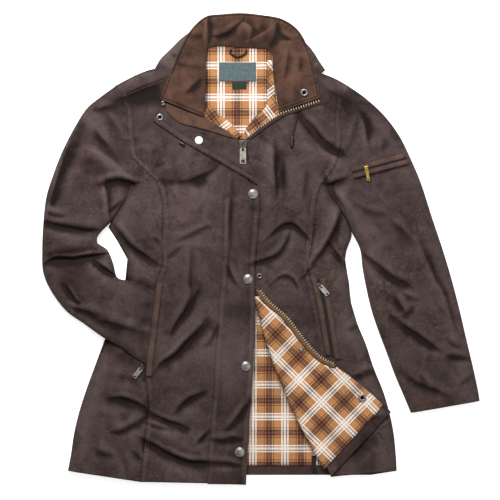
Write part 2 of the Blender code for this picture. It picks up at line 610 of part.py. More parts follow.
lining_stop = np.where(np.arange(turn_count) < ZIP_ROWS, TAPE_WIDTH + 0.0012, 0.002)[:, None]
lip_reach = np.broadcast_to(np.array([-LIP, -LIP / 2]), (turn_count, 2))
lining_share = 1.0 - lining_stop / turn_width
lining_reach = np.concatenate([lip_reach, turn_reach * lining_share], axis=1)
lining_points = turn_grid(turn_rows[2:-2], lining_reach[2:-2], LIE + LINING)
wall(place("front_left_turn_lining", grid_mesh("front_left_turn_lining", lining_points), PLAID), LINING)

tape_reach = np.concatenate([turn_width - TAPE_WIDTH, turn_width + 0.0010], axis=1)
tape_points = turn_grid(turn_rows[1:ZIP_ROWS], tape_reach[1:ZIP_ROWS], LIE + LINING)
wall(place("zip_tape_turn", grid_mesh("zip_tape_turn", tape_points), TAPE), LINING)


def surface(*names):
    """A function giving the height of the uppermost of some pieces at x, y."""
    trees = []
    for name in names:
        mesh = bpy.data.objects[name].data
        corners = [vertex.co for vertex in mesh.vertices]
        trees.append(BVHTree.FromPolygons(corners, [face.vertices for face in mesh.polygons]))

    def height(x, y):
        """The highest hit of a ray going straight down."""
        best = 0.0
        for tree in trees:
            hit = tree.ray_cast(Vector((x, y, 1.0)), Vector((0.0, 0.0, -1.0)))[0]
            if hit is not None:
                best = max(best, hit.z)
        return best

    return np.vectorize(height, otypes=[float])


def around_point(top, x, y, reach):
    """The highest cloth within reach of a point."""
    turn = np.linspace(0.0, 2.0 * math.pi, 13)
    return max(top(x, y), top(x + reach * np.cos(turn), y + reach * np.sin(turn)).max())


# Pocket welts and zips
PRINCESS_SHARE = np.linspace(0.0, 1.0, 9)


def beside(curve, start, stop, first, last):
    """Two edges running beside a curve between two heights y, at two offsets in x."""
    order = np.argsort(curve[:, 1])
    heights = start + PRINCESS_SHARE * (stop - start)
    seam = np.interp(heights, curve[order, 1], curve[order, 0])
    return np.column_stack([seam + first, heights]), np.column_stack([seam + last, heights])


def pocket_strip(name, curve, span, offsets, top, finish, thickness):
    """A welt or zip tape lying beside a seam."""
    left, right = beside(curve, *span, *offsets)
    return panel(name, left, right, even(1), top, finish, thickness, LIE + thickness, 0.0)


pocket_strip("pocket_right_welt", princess_r, (-0.070, -0.254), (0.0010, 0.0135), front_top, WELT, CLOTH)
pocket_strip("pocket_right_zip", princess_r, (-0.232, -0.262), (-0.0075, -0.0015), side_top, TAPE, LINING)
pocket_strip("pocket_left_welt_front", princess_l, (-0.058, -0.212), (0.0010, 0.0115), front_top, WELT, CLOTH)
pocket_strip("pocket_left_zip", princess_l, (-0.058, -0.216), (0.0122, 0.0172), front_top, TAPE, LINING)
pocket_strip("pocket_left_welt_back", princess_l, (-0.058, -0.220), (0.0180, 0.0285), front_top, WELT, CLOTH)

# Sleeve pocket: a line across the upper arm, and each strip's offsets from it
ARM_POCKET = ((0.181, 0.151), (0.285, 0.1790))
arm_top = surface("sleeve_left")


def arm_strip(name, low, high, finish, thickness):
    """A strip across the sleeve beside the pocket line."""
    start = np.array(ARM_POCKET[0])
    end = np.array(ARM_POCKET[1])
    along = (end - start) / np.linalg.norm(end - start)
    up = np.array([-along[1], along[0]])
    run = start + np.linspace(0.0, 1.0, 14)[:, None] * (end - start)
    return panel(name, run + up * high, run + up * low, even(2)[::-1], arm_top, finish, thickness,
                 0.0010 + thickness, 0.0)


arm_strip("sleeve_pocket_welt_upper", 0.0024, 0.0110, WELT, CLOTH)
arm_strip("sleeve_pocket_zip", -0.0020, 0.0018, TAPE, LINING)
arm_strip("sleeve_pocket_welt_lower", -0.0102, -0.0026, WELT, CLOTH)


def slab(name, centre, size, finish):
    """A thin bevelled block."""
    bpy.ops.mesh.primitive_cube_add(size=1.0, location=centre)
    made = bpy.context.object
    made.name = name
    made.data.name = name
    made.data.transform(Matrix.Diagonal((*size, 1.0)))
    made.data.materials.append(finish)
    for group in list(made.users_collection):
        group.objects.unlink(made)
    jacket.objects.link(made)
    soften = made.modifiers.new("soften", "BEVEL")
    soften.width = 0.0002
    soften.segments = 1
    return made


# Label, size tab and vent zip on the lining of the back
LINING_TOP = BACK + 0.0003 + LINING
slab("neck_label", (-0.047, 0.355, LINING_TOP + 0.0008), (0.074, 0.038, 0.0010), LABEL)
slab("size_tab", (-0.043, 0.3275, LINING_TOP + 0.0008), (0.028, 0.015, 0.0010), TAB)
slab("vent_zip", (0.106, -0.431, LINING_TOP + 0.0010), (0.009, 0.034, 0.0012), TAPE)


def tube(name, points, radius, finish, sides=3):
    """A round cord through points, closed at both ends."""
    line = bpy.data.curves.new(name, "CURVE")
    line.dimensions = "3D"
    line.bevel_depth = radius
    line.bevel_resolution = sides
    line.use_fill_caps = True
    line.resolution_u = 4
    spline = line.splines.new("BEZIER")
    spline.bezier_points.add(len(points) - 1)
    for knot, point in zip(spline.bezier_points, points):
        knot.co = point
        knot.handle_left_type = "AUTO"
        knot.handle_right_type = "AUTO"
    return place(name, line, finish)


LOOP = [(-0.060, 0.4015), (-0.061, 0.392), (-0.046, 0.385), (-0.031, 0.392), (-0.030, 0.4005)]
LOOP_RADIUS = 0.0021
tube("hanger_loop", [(x, y, LINING_TOP + LOOP_RADIUS + 0.0003) for x, y in LOOP], LOOP_RADIUS, DARK, 2)

# Hood drawcord on the left front and its end; the other end lies below the turned placket
CORD_PATH = [(0.0710, 0.2690), (0.0695, 0.2560), (0.0665, 0.2420), (0.0630, 0.2260)]
CORD_END_RADIUS = 0.0042
CORD_END_LENGTH = 0.0200
cord_top = surface("front_left_centre")
tube("drawcord", [(x, y, around_point(cord_top, x, y, 0.004) + CORD_RADIUS + 0.0003) for x, y in CORD_PATH],
     CORD_RADIUS, CORD, 2)


def turned(name, profile, finish, steps=12):
    """A round piece screwed from a profile of radius and height."""
    mesh = bpy.data.meshes.new(name)
    edges = [(k, k + 1) for k in range(len(profile) - 1)]
    mesh.from_pydata([(radius, 0.0, height) for radius, height in profile], edges, [])
    made = place(name, mesh, finish)
    spin = made.modifiers.new("spin", "SCREW")
    spin.steps = steps
    spin.render_steps = steps
    spin.use_merge_vertices = True
    spin.merge_threshold = 0.00001
    spin.use_normal_calculate = True
    return made


def cord_end(name, x, y, heading, length, radius, top):
    """A bell-shaped cord end lying on the cloth, its narrow end first."""
    made = turned(name, [(0.0, 0.0), (0.6 * radius, 0.0), (0.78 * radius, 0.25 * length),
                         (radius, 0.75 * length), (0.92 * radius, length), (0.0, length)], DARK, 12)
    ahead = Vector((*heading, 0.0)).normalized()
    side = Vector((-ahead.y, ahead.x, 0.0))
    up = ahead.cross(side)
    middle = (x + 0.5 * length * ahead.x, y + 0.5 * length * ahead.y)
    height = around_point(top, *middle, 0.5 * length) + radius + 0.0003
    made.matrix_world = Matrix((
        (side.x, up.x, ahead.x, x), (side.y, up.y, ahead.y, y), (side.z, up.z, ahead.z, height),
        (0.0, 0.0, 0.0, 1.0)))
    return made


cord_end("cord_end_left", 0.0627, 0.2252, (-0.12, -1.0), CORD_END_LENGTH, CORD_END_RADIUS, cord_top)
cord_end("cord_end_right", -0.163, 0.2135, (0.86, -0.50), 0.0120, 0.0034, surface("front_right_centre"))


# Snaps
def snap(name, x, y, radius, height, top, ring=0.0, finish=METAL):
    """A snap cap, or a socket ring with a round hollow when ring is more than 0."""
    profile = [(0.0, 0.0), (0.94 * radius, 0.0), (radius, 0.12 * height), (0.96 * radius, 0.45 * height),
               (0.80 * radius, 0.80 * height)]
    if ring > 0.0:
        profile += [(0.72 * radius, height), (ring * radius, 0.92 * height),
                    (0.9 * ring * radius, 0.4 * height), (0.0, 0.4 * height)]
    else:
        profile += [(0.45 * radius, 0.97 * height), (0.0, height)]
    made = turned(name, profile, finish)
    made.location = (x, y, around_point(top, x, y, radius) + 0.0003)
    return made


placket_face = surface("placket")
turn_face = surface("placket_turn")
SNAP_PLACES = [(-0.016, 0.110), (-0.026, -0.060), (-0.030, -0.234), (-0.042, -0.406)]
for number, (snap_x, snap_y) in enumerate(SNAP_PLACES, start=1):
    snap("snap_cap_%d" % number, snap_x, snap_y, SNAP_RADIUS, SNAP_HEIGHT, placket_face)
snap("snap_socket_flap", -0.202, 0.263, 0.0075, 0.0024, turn_face, 0.45)
snap("snap_back_flap", -0.124, 0.217, 0.0080, 0.0022, turn_face)
snap("snap_stud", -0.0035, -0.054, 0.0058, 0.0034, surface("front_left_centre"), 0.5)
snap("snap_socket_collar", 0.086, 0.312, 0.0080, 0.0026, surface("collar"), 0.45)
snap("snap_socket_turn", 0.202, -0.297, 0.0080, 0.0026, surface("front_left_turn_lining"), 0.45)
snap("snap_post_turn", 0.080, -0.201, 0.0040, 0.0034, surface("front_left_turn_lining"))


# Zip sliders with a bridge, and the pull tabs whose cross bar turns under it
def outline_plate(name, loops, half_thickness, finish, group):
    """A flat plate from an outline and its holes."""
    line = bpy.data.curves.new(name, "CURVE")
    line.dimensions = "2D"
    line.fill_mode = "BOTH"
    line.extrude = half_thickness
    for loop in loops:
        spline = line.splines.new("POLY")
        spline.points.add(len(loop) - 1)
        for knot, (x, y) in zip(spline.points, loop):
            knot.co = (x, y, 0.0, 1.0)
        spline.use_cyclic_u = True
    return place(name, line, finish, group)


BASE_FRONT = 0.0050
BASE_BACK = 0.0080
BASE_WIDTH = 0.0100
BASE_HEIGHT = 0.0030
AXIS_HEIGHT = 0.0014
BAR = 0.0008


def zip_end(slider, pull, x, y, heading, tilt, scale, top, finish, plate_width=PULL_WIDTH, end_hole=0.0050,
            back=BASE_BACK, flare=1.0):
    """A slider on the cloth at x, y, its back widened by flare, and its pull tab pointing along heading."""
    ahead = Vector((*heading, 0.0)).normalized()
    side = ahead.cross(Vector((0.0, 0.0, 1.0)))
    centre = Vector((x, y, 0.0))
    spots = [centre + scale * (along * ahead + across * widen * side)
             for along, widen in ((-back, flare), (-0.5 * back, flare), (-0.0015, flare), (BASE_FRONT, 1.0))
             for across in (-0.5 * BASE_WIDTH, 0.0, 0.5 * BASE_WIDTH)]
    floor = max(float(top(spot.x, spot.y)) for spot in spots) + 0.0004
    base_top = floor + scale * BASE_HEIGHT
    frame = Matrix(((side.x, ahead.x, 0.0, x), (side.y, ahead.y, 0.0, y), (0.0, 0.0, 1.0, base_top),
                    (0.0, 0.0, 0.0, 1.0)))

    size = (scale * BASE_WIDTH, scale * (back + BASE_FRONT), scale * BASE_HEIGHT)
    body = slab(slider, (0.0, 0.0, 0.0), size, finish)
    for corner in body.data.vertices:
        if corner.co.y < 0.0:
            corner.co.x *= flare
    shift = (0.0, 0.5 * scale * (BASE_FRONT - back), -0.5 * scale * BASE_HEIGHT)
    body.data.transform(Matrix.Translation(shift))
    body.modifiers["soften"].width = scale * 0.0007
    body.modifiers["soften"].segments = 2
    body.matrix_world = frame

    arch = [(-4.6, -0.6), (4.4, -0.6), (4.4, 2.2), (3.5, 3.9), (-3.5, 3.9), (-4.6, 2.2)]
    hole = [(-3.4, -0.1), (3.2, -0.1), (3.2, 1.9), (2.6, 2.9), (-2.6, 2.9), (-3.4, 1.9)]
    loops = [[(0.001 * scale * u, 0.001 * scale * v) for u, v in loop] for loop in (arch, hole)]
    bridge = outline_plate(slider + "_bridge", loops, scale * 0.0014, finish, cutters)
    bridge.matrix_world = frame @ Matrix(((0.0, 0.0, 1.0, 0.0), (1.0, 0.0, 0.0, 0.0), (0.0, 1.0, 0.0, 0.0),
                                          (0.0, 0.0, 0.0, 1.0)))
    solid = bpy.data.objects.new(bridge.name + "_solid", bpy.data.meshes.new_from_object(bridge))
    solid.matrix_world = bridge.matrix_world
    cutters.objects.link(solid)
    for helper in (bridge, solid):
        helper.hide_render = True
        helper.display_type = "WIRE"
    union = body.modifiers.new("bridge", "BOOLEAN")
    union.operation = "UNION"
    union.solver = "EXACT"
    union.object = solid

    length = scale * PULL_LENGTH
    half = 0.5 * scale * plate_width
    bar = scale * BAR
    window = 0.5 * scale * 0.0050
    outline = [(-0.8 * half, -bar), (0.8 * half, -bar), (half, 3.0 * bar), (half, length - 3.0 * bar),
               (0.75 * half, length - bar), (-0.75 * half, length - bar), (-half, length - 3.0 * bar),
               (-half, 3.0 * bar)]
    gap = [(-window, bar), (window, bar), (window, scale * 0.0062), (-window, scale * 0.0062)]
    holes = [gap]
    if end_hole > 0.0:
        far = length - 2.5 * bar
        near = far - scale * end_hole
        wide = 0.5 * scale * end_hole
        holes.append([(-wide, near), (wide, near), (wide, far), (-wide, far)])
    plate = outline_plate(pull, [outline] + holes, 0.5 * scale * 0.0014, finish, jacket)
    axis = Matrix.Translation((0.0, 0.0, scale * AXIS_HEIGHT))
    plate.matrix_world = frame @ axis @ Matrix.Rotation(-math.radians(tilt), 4, "X")
    return plate


zip_end("zip_slider", "zip_pull", -0.036, 0.2015, (0.0, -1.0), 1.0, 1.0,
        surface("zip_closed", "front_right_centre", "front_left_centre", "placket_turn"), METAL,
        end_hole=0.0068, back=0.0150, flare=1.8)
zip_end("pocket_right_slider", "pocket_right_pull", -0.2395, -0.2385, (-0.62, -0.78), 4.0, 0.75,
        surface("front_right_side", "pocket_right_zip"), METAL)
zip_end("pocket_left_slider", "pocket_left_pull", 0.1185, -0.0740, (0.65, -0.76), 2.0, 0.75,
        surface("front_left_side", "pocket_left_zip", "pocket_left_welt_front", "pocket_left_welt_back"),
        METAL)
zip_end("sleeve_pocket_slider", "sleeve_pocket_pull", 0.2100, 0.1590, (0.17, -0.985), 4.0, 0.75,
        surface("sleeve_left", "sleeve_pocket_zip", "sleeve_pocket_welt_lower", "sleeve_pocket_welt_upper"),
        BRASS, 0.0080, 0.0035)
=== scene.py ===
# %% [markdown]
# # A waxed jacket, laid open on its back
#
# The solids of the jacket are already packed. This lesson dresses them: each cloth
# piece is worked out again on a much finer grid, from the same seam curves, and gets
# creases, stitching and a finish of its own. Hard trims keep their solid shape.
#
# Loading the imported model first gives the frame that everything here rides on.

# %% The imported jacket
import math

import bpy
import numpy as np
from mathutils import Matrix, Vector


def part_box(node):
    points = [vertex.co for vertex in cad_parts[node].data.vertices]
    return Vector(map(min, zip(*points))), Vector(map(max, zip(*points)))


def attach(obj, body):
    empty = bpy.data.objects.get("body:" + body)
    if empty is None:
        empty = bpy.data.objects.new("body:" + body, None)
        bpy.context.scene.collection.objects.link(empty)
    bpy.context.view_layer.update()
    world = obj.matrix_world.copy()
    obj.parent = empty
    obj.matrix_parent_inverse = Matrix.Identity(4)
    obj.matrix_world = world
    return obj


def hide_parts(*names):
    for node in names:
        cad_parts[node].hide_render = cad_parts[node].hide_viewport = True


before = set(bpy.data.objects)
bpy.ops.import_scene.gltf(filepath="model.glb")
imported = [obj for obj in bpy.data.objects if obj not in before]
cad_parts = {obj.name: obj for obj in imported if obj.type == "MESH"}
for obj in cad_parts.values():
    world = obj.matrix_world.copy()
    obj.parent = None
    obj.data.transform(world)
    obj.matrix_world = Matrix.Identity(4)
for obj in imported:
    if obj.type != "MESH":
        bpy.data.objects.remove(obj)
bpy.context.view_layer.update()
BODY = "jacket"

# %% [markdown]
# ## Camera, floor and light
#
# The jacket is seen from straight above. A long lens from far up keeps the sleeves
# from leaning outwards, so a point of cloth stays where the pattern puts it. The
# floor is white and glows a little, as a light table does. A soft box beyond the collar
# gives the folds their shaded side, and a weaker one on the right fills in.

# %% Camera, floor and light
PIXEL = 0.0020
PICTURE_PIXELS = 500
VIEW_CENTRE = (-0.022, -0.002)
EYE_HEIGHT = 4.0
CLOTH_HEIGHT = 0.012
SENSOR = 36.0
SKY_GLOW = 0.30
FLOOR_GLOW = 0.62
FLOOR_HALF = 4.0
FLOOR_Z = -0.0006

eye = bpy.data.cameras.new("eye")
eye.sensor_width = SENSOR
eye.lens = SENSOR * (EYE_HEIGHT - CLOTH_HEIGHT) / (PICTURE_PIXELS * PIXEL)
eye.clip_end = 50.0
camera = bpy.data.objects.new("eye", eye)
camera.location = (*VIEW_CENTRE, EYE_HEIGHT)
bpy.context.scene.collection.objects.link(camera)
bpy.context.scene.camera = camera
bpy.context.scene.view_settings.view_transform = "Standard"

sky = bpy.data.worlds.new("studio")
sky.use_nodes = True
background = sky.node_tree.nodes["Background"]
background.inputs["Color"].default_value = (1.0, 1.0, 1.0, 1.0)
background.inputs["Strength"].default_value = SKY_GLOW
bpy.context.scene.world = sky


def soft_box(name, place, size, power):
    """A square lamp of the given size, turned towards the middle of the jacket."""
    lamp = bpy.data.lights.new(name, "AREA")
    lamp.size = size
    lamp.energy = power
    held = bpy.data.objects.new(name, lamp)
    held.location = place
    aim = np.array([*VIEW_CENTRE, 0.0]) - np.array(place)
    held.rotation_euler = (math.atan2(math.hypot(aim[0], aim[1]), -aim[2]), 0.0,
                           math.atan2(aim[1], aim[0]) - math.pi / 2)
    bpy.context.scene.collection.objects.link(held)


soft_box("key", place=(-0.5, 1.8, 1.8), size=0.9, power=80.0)
soft_box("fill", place=(1.6, -0.6, 2.6), size=2.0, power=20.0)

floor_mesh = bpy.data.meshes.new("floor")
floor_corners = [(FLOOR_HALF * x, FLOOR_HALF * y, FLOOR_Z) for x, y in ((-1, -1), (1, -1), (1, 1), (-1, 1))]
floor_mesh.from_pydata(floor_corners, [], [(0, 1, 2, 3)])
floor = bpy.data.objects.new("floor", floor_mesh)
white = bpy.data.materials.new("floor_white")
white.use_nodes = True
paint = white.node_tree.nodes["Principled BSDF"]
paint.inputs["Base Color"].default_value = (0.9, 0.9, 0.9, 1.0)
paint.inputs["Roughness"].default_value = 0.9
paint.inputs["Emission Color"].default_value = (1.0, 1.0, 1.0, 1.0)
paint.inputs["Emission Strength"].default_value = FLOOR_GLOW
floor_mesh.materials.append(white)
bpy.context.scene.collection.objects.link(floor)
print("lens:", round(eye.lens), "mm")

# %% [markdown]
# ## Writing shader maths as sums
#
# A finish is a small program of nodes. Wrapping a socket in a class lets the maths
# be written as Python sums: each operator adds one Math node, and `node` adds any
# other kind.

# %% Sockets that can be added and multiplied


class Field:
    """A shader value over the surface; operators on it add Math nodes."""

    def __init__(self, socket):
        self.socket = socket

    def node(self, kind, settings, sockets, out=0):
        """Any node: its settings first, then values or links for its sockets."""
        made = self.socket.id_data.nodes.new(kind)
        for key, value in settings.items():
            if key == "stops":
                ramp = made.color_ramp.elements
                while len(ramp) < len(value):
                    ramp.new(0.5)
                for stop, (place, colour) in zip(ramp, value):
                    stop.position = place
                    stop.color = colour
            else:
                setattr(made, key, value)
        for key, value in sockets.items():
            if isinstance(value, Field):
                self.socket.id_data.links.new(value.socket, made.inputs[key])
            else:
                made.inputs[key].default_value = value
        return Field(made.outputs[out])

    def math(self, operation, first, second=0.0):
        """One Math node on one or two values."""
        return self.node("ShaderNodeMath", {"operation": operation}, {0: first, 1: second})

    def __add__(self, other):
        return self.math("ADD", self, other)

    def __sub__(self, other):
        return self.math("SUBTRACT", self, other)

    def __rsub__(self, other):
        return self.math("SUBTRACT", other, self)

    def __mul__(self, other):
        return self.math("MULTIPLY", self, other)

    def __truediv__(self, other):
        return self.math("DIVIDE", self, other)

    def __mod__(self, other):
        return self.math("FLOORED_MODULO", self, other)

    def __lt__(self, other):
        return self.math("LESS_THAN", self, other)

    def __abs__(self):
        return self.math("ABSOLUTE", self)

    __radd__ = __add__
    __rmul__ = __mul__

    def held(self):
        """The value kept between 0 and 1."""
        return self.node("ShaderNodeClamp", {}, {"Value": self})

    def pick(self, low, high):
        """A colour between two, by this value."""
        return self.node("ShaderNodeMix", {"data_type": "RGBA"}, {0: self, 6: low, 7: high}, 2)

    def noise(self, scale, detail=3.0, rough=0.55, bend=0.0):
        """Cloudy values around 0.5; scale is in waves per metre."""
        return self.node("ShaderNodeTexNoise", {}, {
            "Vector": self, "Scale": scale, "Detail": detail, "Roughness": rough, "Distortion": bend})


def finish(name, roughness, metallic=0.0, specular=0.25, **constants):
    """A new material, its shader, and the Object coordinates to start from."""
    made = bpy.data.materials.new(name)
    made.use_nodes = True
    shader = made.node_tree.nodes["Principled BSDF"]
    shader.inputs["Roughness"].default_value = roughness
    shader.inputs["Metallic"].default_value = metallic
    shader.inputs["Specular IOR Level"].default_value = specular
    for key, value in constants.items():
        shader.inputs[key.replace("_", " ").title()].default_value = value
    here = made.node_tree.nodes.new("ShaderNodeTexCoord")
    return made, shader, Field(here.outputs["Object"])


def feed(shader, **fields):
    """Link fields to the shader's sockets, named in lower case."""
    for key, field in fields.items():
        socket = shader.inputs[key.replace("_", " ").title()]
        shader.id_data.links.new(field.socket, socket)


def bump(height, strength, distance):
    """A Normal that follows a height."""
    return height.node("ShaderNodeBump", {}, {
        "Strength": strength, "Distance": distance, "Height": height})


def rgb(red, green, blue):
    """A colour given as 0 to 255 screen values, as the shader wants it."""
    screen = np.array([red, green, blue]) / 255.0
    linear = np.where(screen <= 0.04045, screen / 12.92, ((screen + 0.055) / 1.055) ** 2.4)
    return (*linear.tolist(), 1.0)


print("shader sums ready")

# %% [markdown]
# ## Waxed cotton
#
# Waxed cotton is a tight plain weave soaked in wax. Its colour follows a value kept on
# the mesh, which is how far each point stands above its neighbours: hollows are painted
# darker, as shade, and ridges a little paler, as painted light. Cloudy noise adds the
# rubbed patches, and a net of fine dark lines the old creases that never quite fall out.

# %% Waxed cotton


def crackle(at, scale, sharp):
    """1 along thin lines, where a noise passes through its middle value."""
    return 1.0 - (abs(at.noise(scale, 2.0, 0.5, 0.6) - 0.5) * sharp).held()


def waxed(name, deep, middle, pale, rubbed, bias=0.0):
    """Painted shade in hollows, a little painted light on ridges, dark fine creases, and cloudy patches
    rubbed to a warmer brown.
    """
    made, shader, at = finish(name, 0.5, specular=0.12)
    wear = at.node("ShaderNodeAttribute", {"attribute_name": "wear"}, {}, "Fac")
    clouds = at.noise(7.0, 4.0, 0.6)
    patches = at.noise(38.0, 4.0, 0.62, 0.6)
    grain = at.noise(420.0, 3.0, 0.7)
    tone = 0.52 + bias + (clouds - 0.5) * 0.40 + (patches - 0.5) * 0.55 + (grain - 0.5) * 0.85
    handled = ((at.noise(11.0, 2.0) - 0.47) * 5.0).held()
    lines = (crackle(at, 24.0, 16.0) * 0.6 + crackle(at, 58.0, 11.0) * 0.4) * handled
    # The mesh value paints shade into the hollows and, more weakly, light onto the ridges.
    tone = (tone + wear * 0.75 - wear.held() * 0.40 - lines * 0.40).held()
    colour = tone.node("ShaderNodeValToRGB", {"stops": [(0.0, deep), (0.45, middle), (1.0, pale)]},
                       {"Fac": tone})
    warm = ((at.noise(12.0, 3.0, 0.6, 0.4) - 0.50) * 2.6).held() * 0.55
    colour = warm.pick(colour, rubbed)
    weave = at.noise(1500.0, 1.0) * 0.35 + grain * 0.9 + patches * 1.4 - lines * 1.4
    feed(shader, base_color=colour, roughness=0.72 - tone * 0.14, normal=bump(weave, 0.42, 0.0011))
    return made


# Both waxed finishes carry painted shade and painted light from the mesh value, besides their rubbed
# patches.
WAX = waxed("waxed_cotton_worn_painted_shade", rgb(27, 17, 15), rgb(59, 46, 44), rgb(97, 82, 80), rgb(80, 59, 51))
HOOD_WAX = waxed("waxed_cotton_hood_worn_painted_shade", rgb(43, 33, 32), rgb(69, 56, 54), rgb(97, 82, 80),
                 rgb(78, 60, 54), 0.04)
print("made", WAX.name, HOOD_WAX.name)

# %% [markdown]
# ## Check lining
#
# The lining is a woven check: stripes of dyed yarn run both ways, and where they cross
# the two colours mix in the weave. One function gives the yarn colour along one way,
# the same function gives it along the other, and a fine twill picks between the two.
# A cream stripe floats over more of the ground than it goes under, so it stays strong.
# The layout is a plain one of its own: a dark stripe with a rust line down its middle
# and a hairline on each side, and a group of three cream lines half way between.

# %% Check lining
REPEAT = 0.064
TWILL = 0.0016
FLOAT = 0.42
TAN = rgb(194, 135, 86)
CREAM = rgb(246, 242, 234)
CHARCOAL = rgb(34, 29, 30)
RUST = rgb(142, 58, 46)

# Stripes as shares of one repeat: place of the middle, or distance from it, and half width
DARK_PLACE, DARK_HALF = 0.25, 0.095
HAIRLINE_OFF, HAIRLINE_HALF = 0.148, 0.014
CORE_HALF = 0.018
PALE_PLACE, PALE_HALF = 0.75, 0.034
SIDE_LINE_OFF, SIDE_LINE_HALF = 0.092, 0.022
DARK_FLOAT = 0.55


def yarn(line):
    """The yarn colour at a distance along one way of the weave, and how far it floats over the other."""
    place = (line / REPEAT) % 1.0
    from_dark = abs(place - DARK_PLACE)
    from_pale = abs(place - PALE_PLACE)
    dark = (from_dark < DARK_HALF) + (abs(from_dark - HAIRLINE_OFF) < HAIRLINE_HALF)
    core = from_dark < CORE_HALF
    pale = (from_pale < PALE_HALF) + (abs(from_pale - SIDE_LINE_OFF) < SIDE_LINE_HALF)
    return core.pick(dark.pick(pale.pick(TAN, CREAM), CHARCOAL), RUST), pale + dark * DARK_FLOAT


def check_lining():
    """Two ways of striped yarn, picked by a fine twill."""
    made, shader, at = finish("check_lining_woven", 0.85, specular=0.2)
    cut = at.node("ShaderNodeUVMap", {"uv_map": "cut"}, {})
    across = cut.node("ShaderNodeSeparateXYZ", {}, {0: cut}, 0)
    along = cut.node("ShaderNodeSeparateXYZ", {}, {0: cut}, 1)
    rib = ((across + along) / TWILL) % 1.0
    warp, warp_float = yarn(across)
    weft, weft_float = yarn(along)
    colour = (rib < 0.5 + (weft_float - warp_float) * FLOAT).pick(warp, weft)
    fuzz = at.noise(300.0, 3.0)
    shade = ((at.noise(14.0) - 0.5) * 0.6 + (fuzz - 0.5) * 0.35 + 0.19).held()
    colour = shade.pick(colour, rgb(104, 76, 56))
    feed(shader, base_color=colour, normal=bump(rib * 0.3 + fuzz, 0.35, 0.0008))
    return made


LINING_CHECK = check_lining()
print("made", LINING_CHECK.name)

# %% [markdown]
# ## Brushed cotton, cord, tape, label and thread
#
# The collar's inner face is a brushed cotton: its nap scatters light, so it has no
# gloss and a soft sheen. The pocket welts are a fine needle cord with ribs along the
# strip. Zip tape, label, thread and cord are plain weaves of four thread sizes.

# %% Small cloths


def brushed(name, deep, pale, ribs=0.0):
    """A matt nap, cloudy where it has been stroked, with painted shade in hollows and painted light on
    ridges, and ribs a given distance apart.
    """
    made, shader, at = finish(name, 0.9, specular=0.1, sheen_weight=0.18, sheen_roughness=0.5)
    nap = at.noise(520.0, 3.0, 0.7)
    strokes = at.noise(26.0, 3.0, 0.6, 0.8)
    wear = at.node("ShaderNodeAttribute", {"attribute_name": "wear"}, {}, "Fac")
    # The mesh value adds painted shade in the hollows and painted light on the ridges, and any patches of
    # painted shade and light.
    tone = 0.5 + (nap - 0.5) * 0.8 + (strokes - 0.5) * 1.7 + wear * 0.8
    height = nap + strokes * 2.0
    if ribs > 0.0:
        cut = at.node("ShaderNodeUVMap", {"uv_map": "cut"}, {})
        across = cut.node("ShaderNodeSeparateXYZ", {}, {0: cut}, 0)
        rib = abs((across / ribs) % 1.0 - 0.5) * 2.0
        tone = tone + (rib - 0.5) * 0.35
        height = nap * 0.5 + rib
    feed(shader, base_color=tone.held().pick(deep, pale), normal=bump(height, 0.4, 0.0009))
    return made


def woven(name, deep, pale, thread, rough=0.8):
    """A plain weave: two sets of threads, each a row of small humps."""
    made, shader, at = finish(name, rough, specular=0.2)
    split = at.node("ShaderNodeSeparateXYZ", {}, {0: at}, 0)
    other = at.node("ShaderNodeSeparateXYZ", {}, {0: at}, 1)
    warp = abs((split / thread) % 1.0 - 0.5)
    weft = abs((other / thread) % 1.0 - 0.5)
    tone = (0.35 + (warp + weft - 0.5) * 0.5 + (at.noise(180.0) - 0.5) * 0.9).held()
    feed(shader, base_color=tone.pick(deep, pale), normal=bump(warp + weft, 0.4, 0.0006))
    return made


COLLAR_NAP = brushed("brushed_collar_nap", rgb(40, 26, 21), rgb(94, 67, 55))
GUARD_NAP = brushed("brushed_guard_nap", rgb(62, 42, 34), rgb(108, 79, 66))
WELT_CORD = brushed("corded_welt_ribs", rgb(54, 39, 35), rgb(94, 72, 64), 0.0016)
# The tape at the top of the zip is coloured much darker than the brown turned tape, as painted shade.
SHADED_ZIP_TAPE = woven("zip_tape_painted_shade", rgb(44, 33, 29), rgb(80, 61, 52), 0.0011)
TURN_TAPE = woven("zip_tape_brown", rgb(88, 62, 45), rgb(138, 101, 76), 0.0011)
DARK_TAPE = woven("zip_tape_dark", rgb(26, 23, 24), rgb(58, 50, 50), 0.0011)
LABEL_WEAVE = woven("woven_label_threads", rgb(66, 80, 82), rgb(116, 130, 128), 0.0007)
TAB_WEAVE = woven("size_tab_threads", rgb(26, 40, 34), rgb(54, 72, 62), 0.0007)
THREAD = woven("sewing_thread", rgb(52, 40, 37), rgb(92, 74, 68), 0.0006, 0.65)
CORD_BRAID = woven("drawcord_braid", rgb(34, 27, 26), rgb(70, 58, 54), 0.0013)
print("made the small cloths")

# %% [markdown]
# ## Metals and the dark plastic
#
# Snaps and pull tabs are cast and tumbled, so their shine is broken by a fine
# scuffing. The sunk centres of the snap sockets are painted dark, as shade. The snaps
# are a shade darker than the pull tabs, the sliders are tarnished, and the zip teeth
# are a pale old brass.

# %% Metals and plastic


def metal(name, deep, pale, rough, metallic=1.0):
    """A satin metal with scuffs in its gloss, a cloudy tarnish, and painted shade where the mesh value is
    below 0.
    """
    made, shader, at = finish(name, rough, metallic, 0.5)
    scuff = at.noise(900.0, 2.0)
    cloud = at.noise(160.0, 3.0, 0.6)
    wear = at.node("ShaderNodeAttribute", {"attribute_name": "wear"}, {}, "Fac")
    colour = ((cloud - 0.2) * 1.5).held().pick(deep, pale)
    # Below 0 the mesh value marks the sunk centre of a snap socket, painted near black as shade.
    feed(shader, base_color=(wear * -1.0).held().pick(colour, rgb(22, 18, 17)),
         roughness=rough + (scuff - 0.5) * 0.3, normal=bump(scuff, 0.12, 0.0002))
    return made


